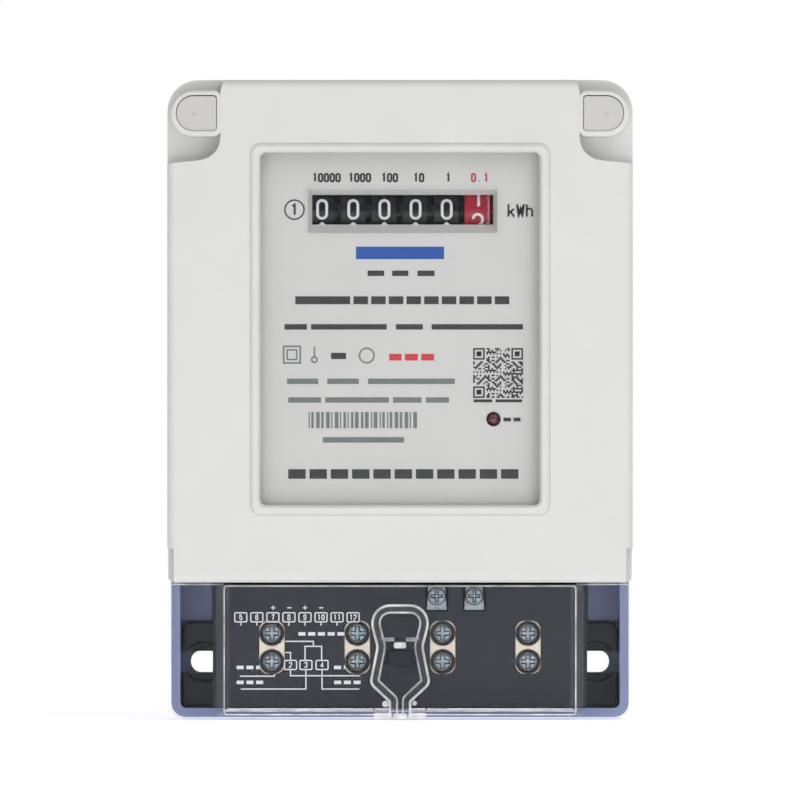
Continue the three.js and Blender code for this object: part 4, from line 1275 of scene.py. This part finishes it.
def floor():
    """A pale disc under the object."""
    bm = bmesh.new()
    bmesh.ops.create_circle(bm, cap_ends=True, segments=96, radius=2.2)
    mesh = bpy.data.meshes.new("floor")
    bm.to_mesh(mesh)
    bm.free()
    ground = bpy.data.objects.new("floor", mesh)
    bpy.context.scene.collection.objects.link(ground)
    ground.location = (0, 0, CLEAR_LOW.z * MM - 0.0002)
    pale = Shader("floor_pale", (0.93, 0.93, 0.93), 0.9, Emission_Strength=0.5)
    pale.principled.inputs["Emission Color"].default_value = (1, 1, 1, 1)
    pale.mottle(200, 0.004)
    mesh.materials.append(pale.material)


def room():
    """A pale room: white behind, bright above, dimmer at the sides and straight in front."""
    world = bpy.data.worlds.new("studio")
    bpy.context.scene.world = world
    world.use_nodes = True
    tree = world.node_tree
    background = tree.nodes["Background"]
    background.inputs["Color"].default_value = (1, 1, 1, 1)
    direction = tree.nodes.new("ShaderNodeTexCoord").outputs["Generated"]
    split = tree.nodes.new("ShaderNodeSeparateXYZ")
    tree.links.new(direction, split.inputs[0])

    def ranged(source, start, end, low, high):
        node = tree.nodes.new("ShaderNodeMapRange")
        node.interpolation_type = "SMOOTHSTEP"
        for socket, value in (("From Min", start), ("From Max", end), ("To Min", low), ("To Max", high)):
            node.inputs[socket].default_value = value
        tree.links.new(source, node.inputs["Value"])
        return node.outputs["Result"]

    def maths(first, second=None, operation="MULTIPLY"):
        node = tree.nodes.new("ShaderNodeMath")
        node.operation = operation
        tree.links.new(first, node.inputs[0])
        if second:
            tree.links.new(second, node.inputs[1])
        return node.outputs[0]

    sideways = maths(split.outputs["X"], operation="ABSOLUTE")
    front_dim = ranged(split.outputs["Y"], -0.985, -0.94, 0.22, 0.8)
    raised = ranged(split.outputs["Z"], 0.0, 0.6, 0.32, 1.0)
    zenith_dim = ranged(split.outputs["Z"], 0.75, 0.97, 1.0, 0.25)
    side_dim = ranged(sideways, 0.45, 0.9, 1.0, 0.35)
    strength = maths(maths(front_dim, raised), maths(zenith_dim, side_dim))
    behind = ranged(split.outputs["Y"], 0.5, 0.8, 0.0, 1.0)
    strength = maths(strength, behind, "MAXIMUM")
    tree.links.new(strength, background.inputs["Strength"])


# name, place, size, power in watts and the point it is aimed at
SOFTBOXES = [
    ("key", (0.6, -1.0, 1.0), (0.7, 0.7), 3.0, (0, 0, 0)),
    ("left_fill", (-0.62, -1.3, 0.0), (0.3, 0.3), 0.6, (0, 0, -0.03)),
    ("right_fill", (0.62, -1.3, 0.0), (0.3, 0.3), 1.3, (0, 0, -0.03)),
    ("low_strip", (0, -0.42, -0.042), (0.34, 0.06), 0.16, (0, 0.58, 0.04)),
]


def softboxes():
    """Soft lamps that the camera doesn't see."""
    for name, place, size, power, aim in SOFTBOXES:
        data = bpy.data.lights.new(name, "AREA")
        data.shape = "RECTANGLE"
        data.size, data.size_y = size
        data.energy = power
        lamp = bpy.data.objects.new(name, data)
        lamp.location = place
        lamp.rotation_euler = (Vector(aim) - Vector(place)).to_track_quat("-Z", "Y").to_euler()
        lamp.visible_camera = False
        bpy.context.scene.collection.objects.link(lamp)


def camera():
    """Straight on through a very long lens, with a frame 192.3 mm wide at the cover's front."""
    data = bpy.data.cameras.new("camera")
    data.sensor_width = 36
    data.lens = 900
    data.clip_end = 60
    frame_width = 0.1923
    distance = frame_width * data.lens / data.sensor_width
    view = bpy.data.objects.new("camera", data)
    view.location = (0, FRONT * MM - distance, 0)
    view.rotation_euler = (math.pi / 2, 0, 0)
    bpy.context.scene.collection.objects.link(view)
    bpy.context.scene.camera = view
    bpy.context.scene.view_settings.view_transform = "Standard"


front_cover()
corner_caps()
base_shell()
register_bezel()
pulse_lamp()
nameplate_print()
for drum_name, drum_x in zip(DRUMS, DRUM_X):
    drum(drum_name, drum_x)
terminal_block()
terminal_cages()
terminal_rings()
block_print()
aux_clamps()
clear_cover()
latch_foot()
screws()
carried_over()
floor()
room()
softboxes()
camera()
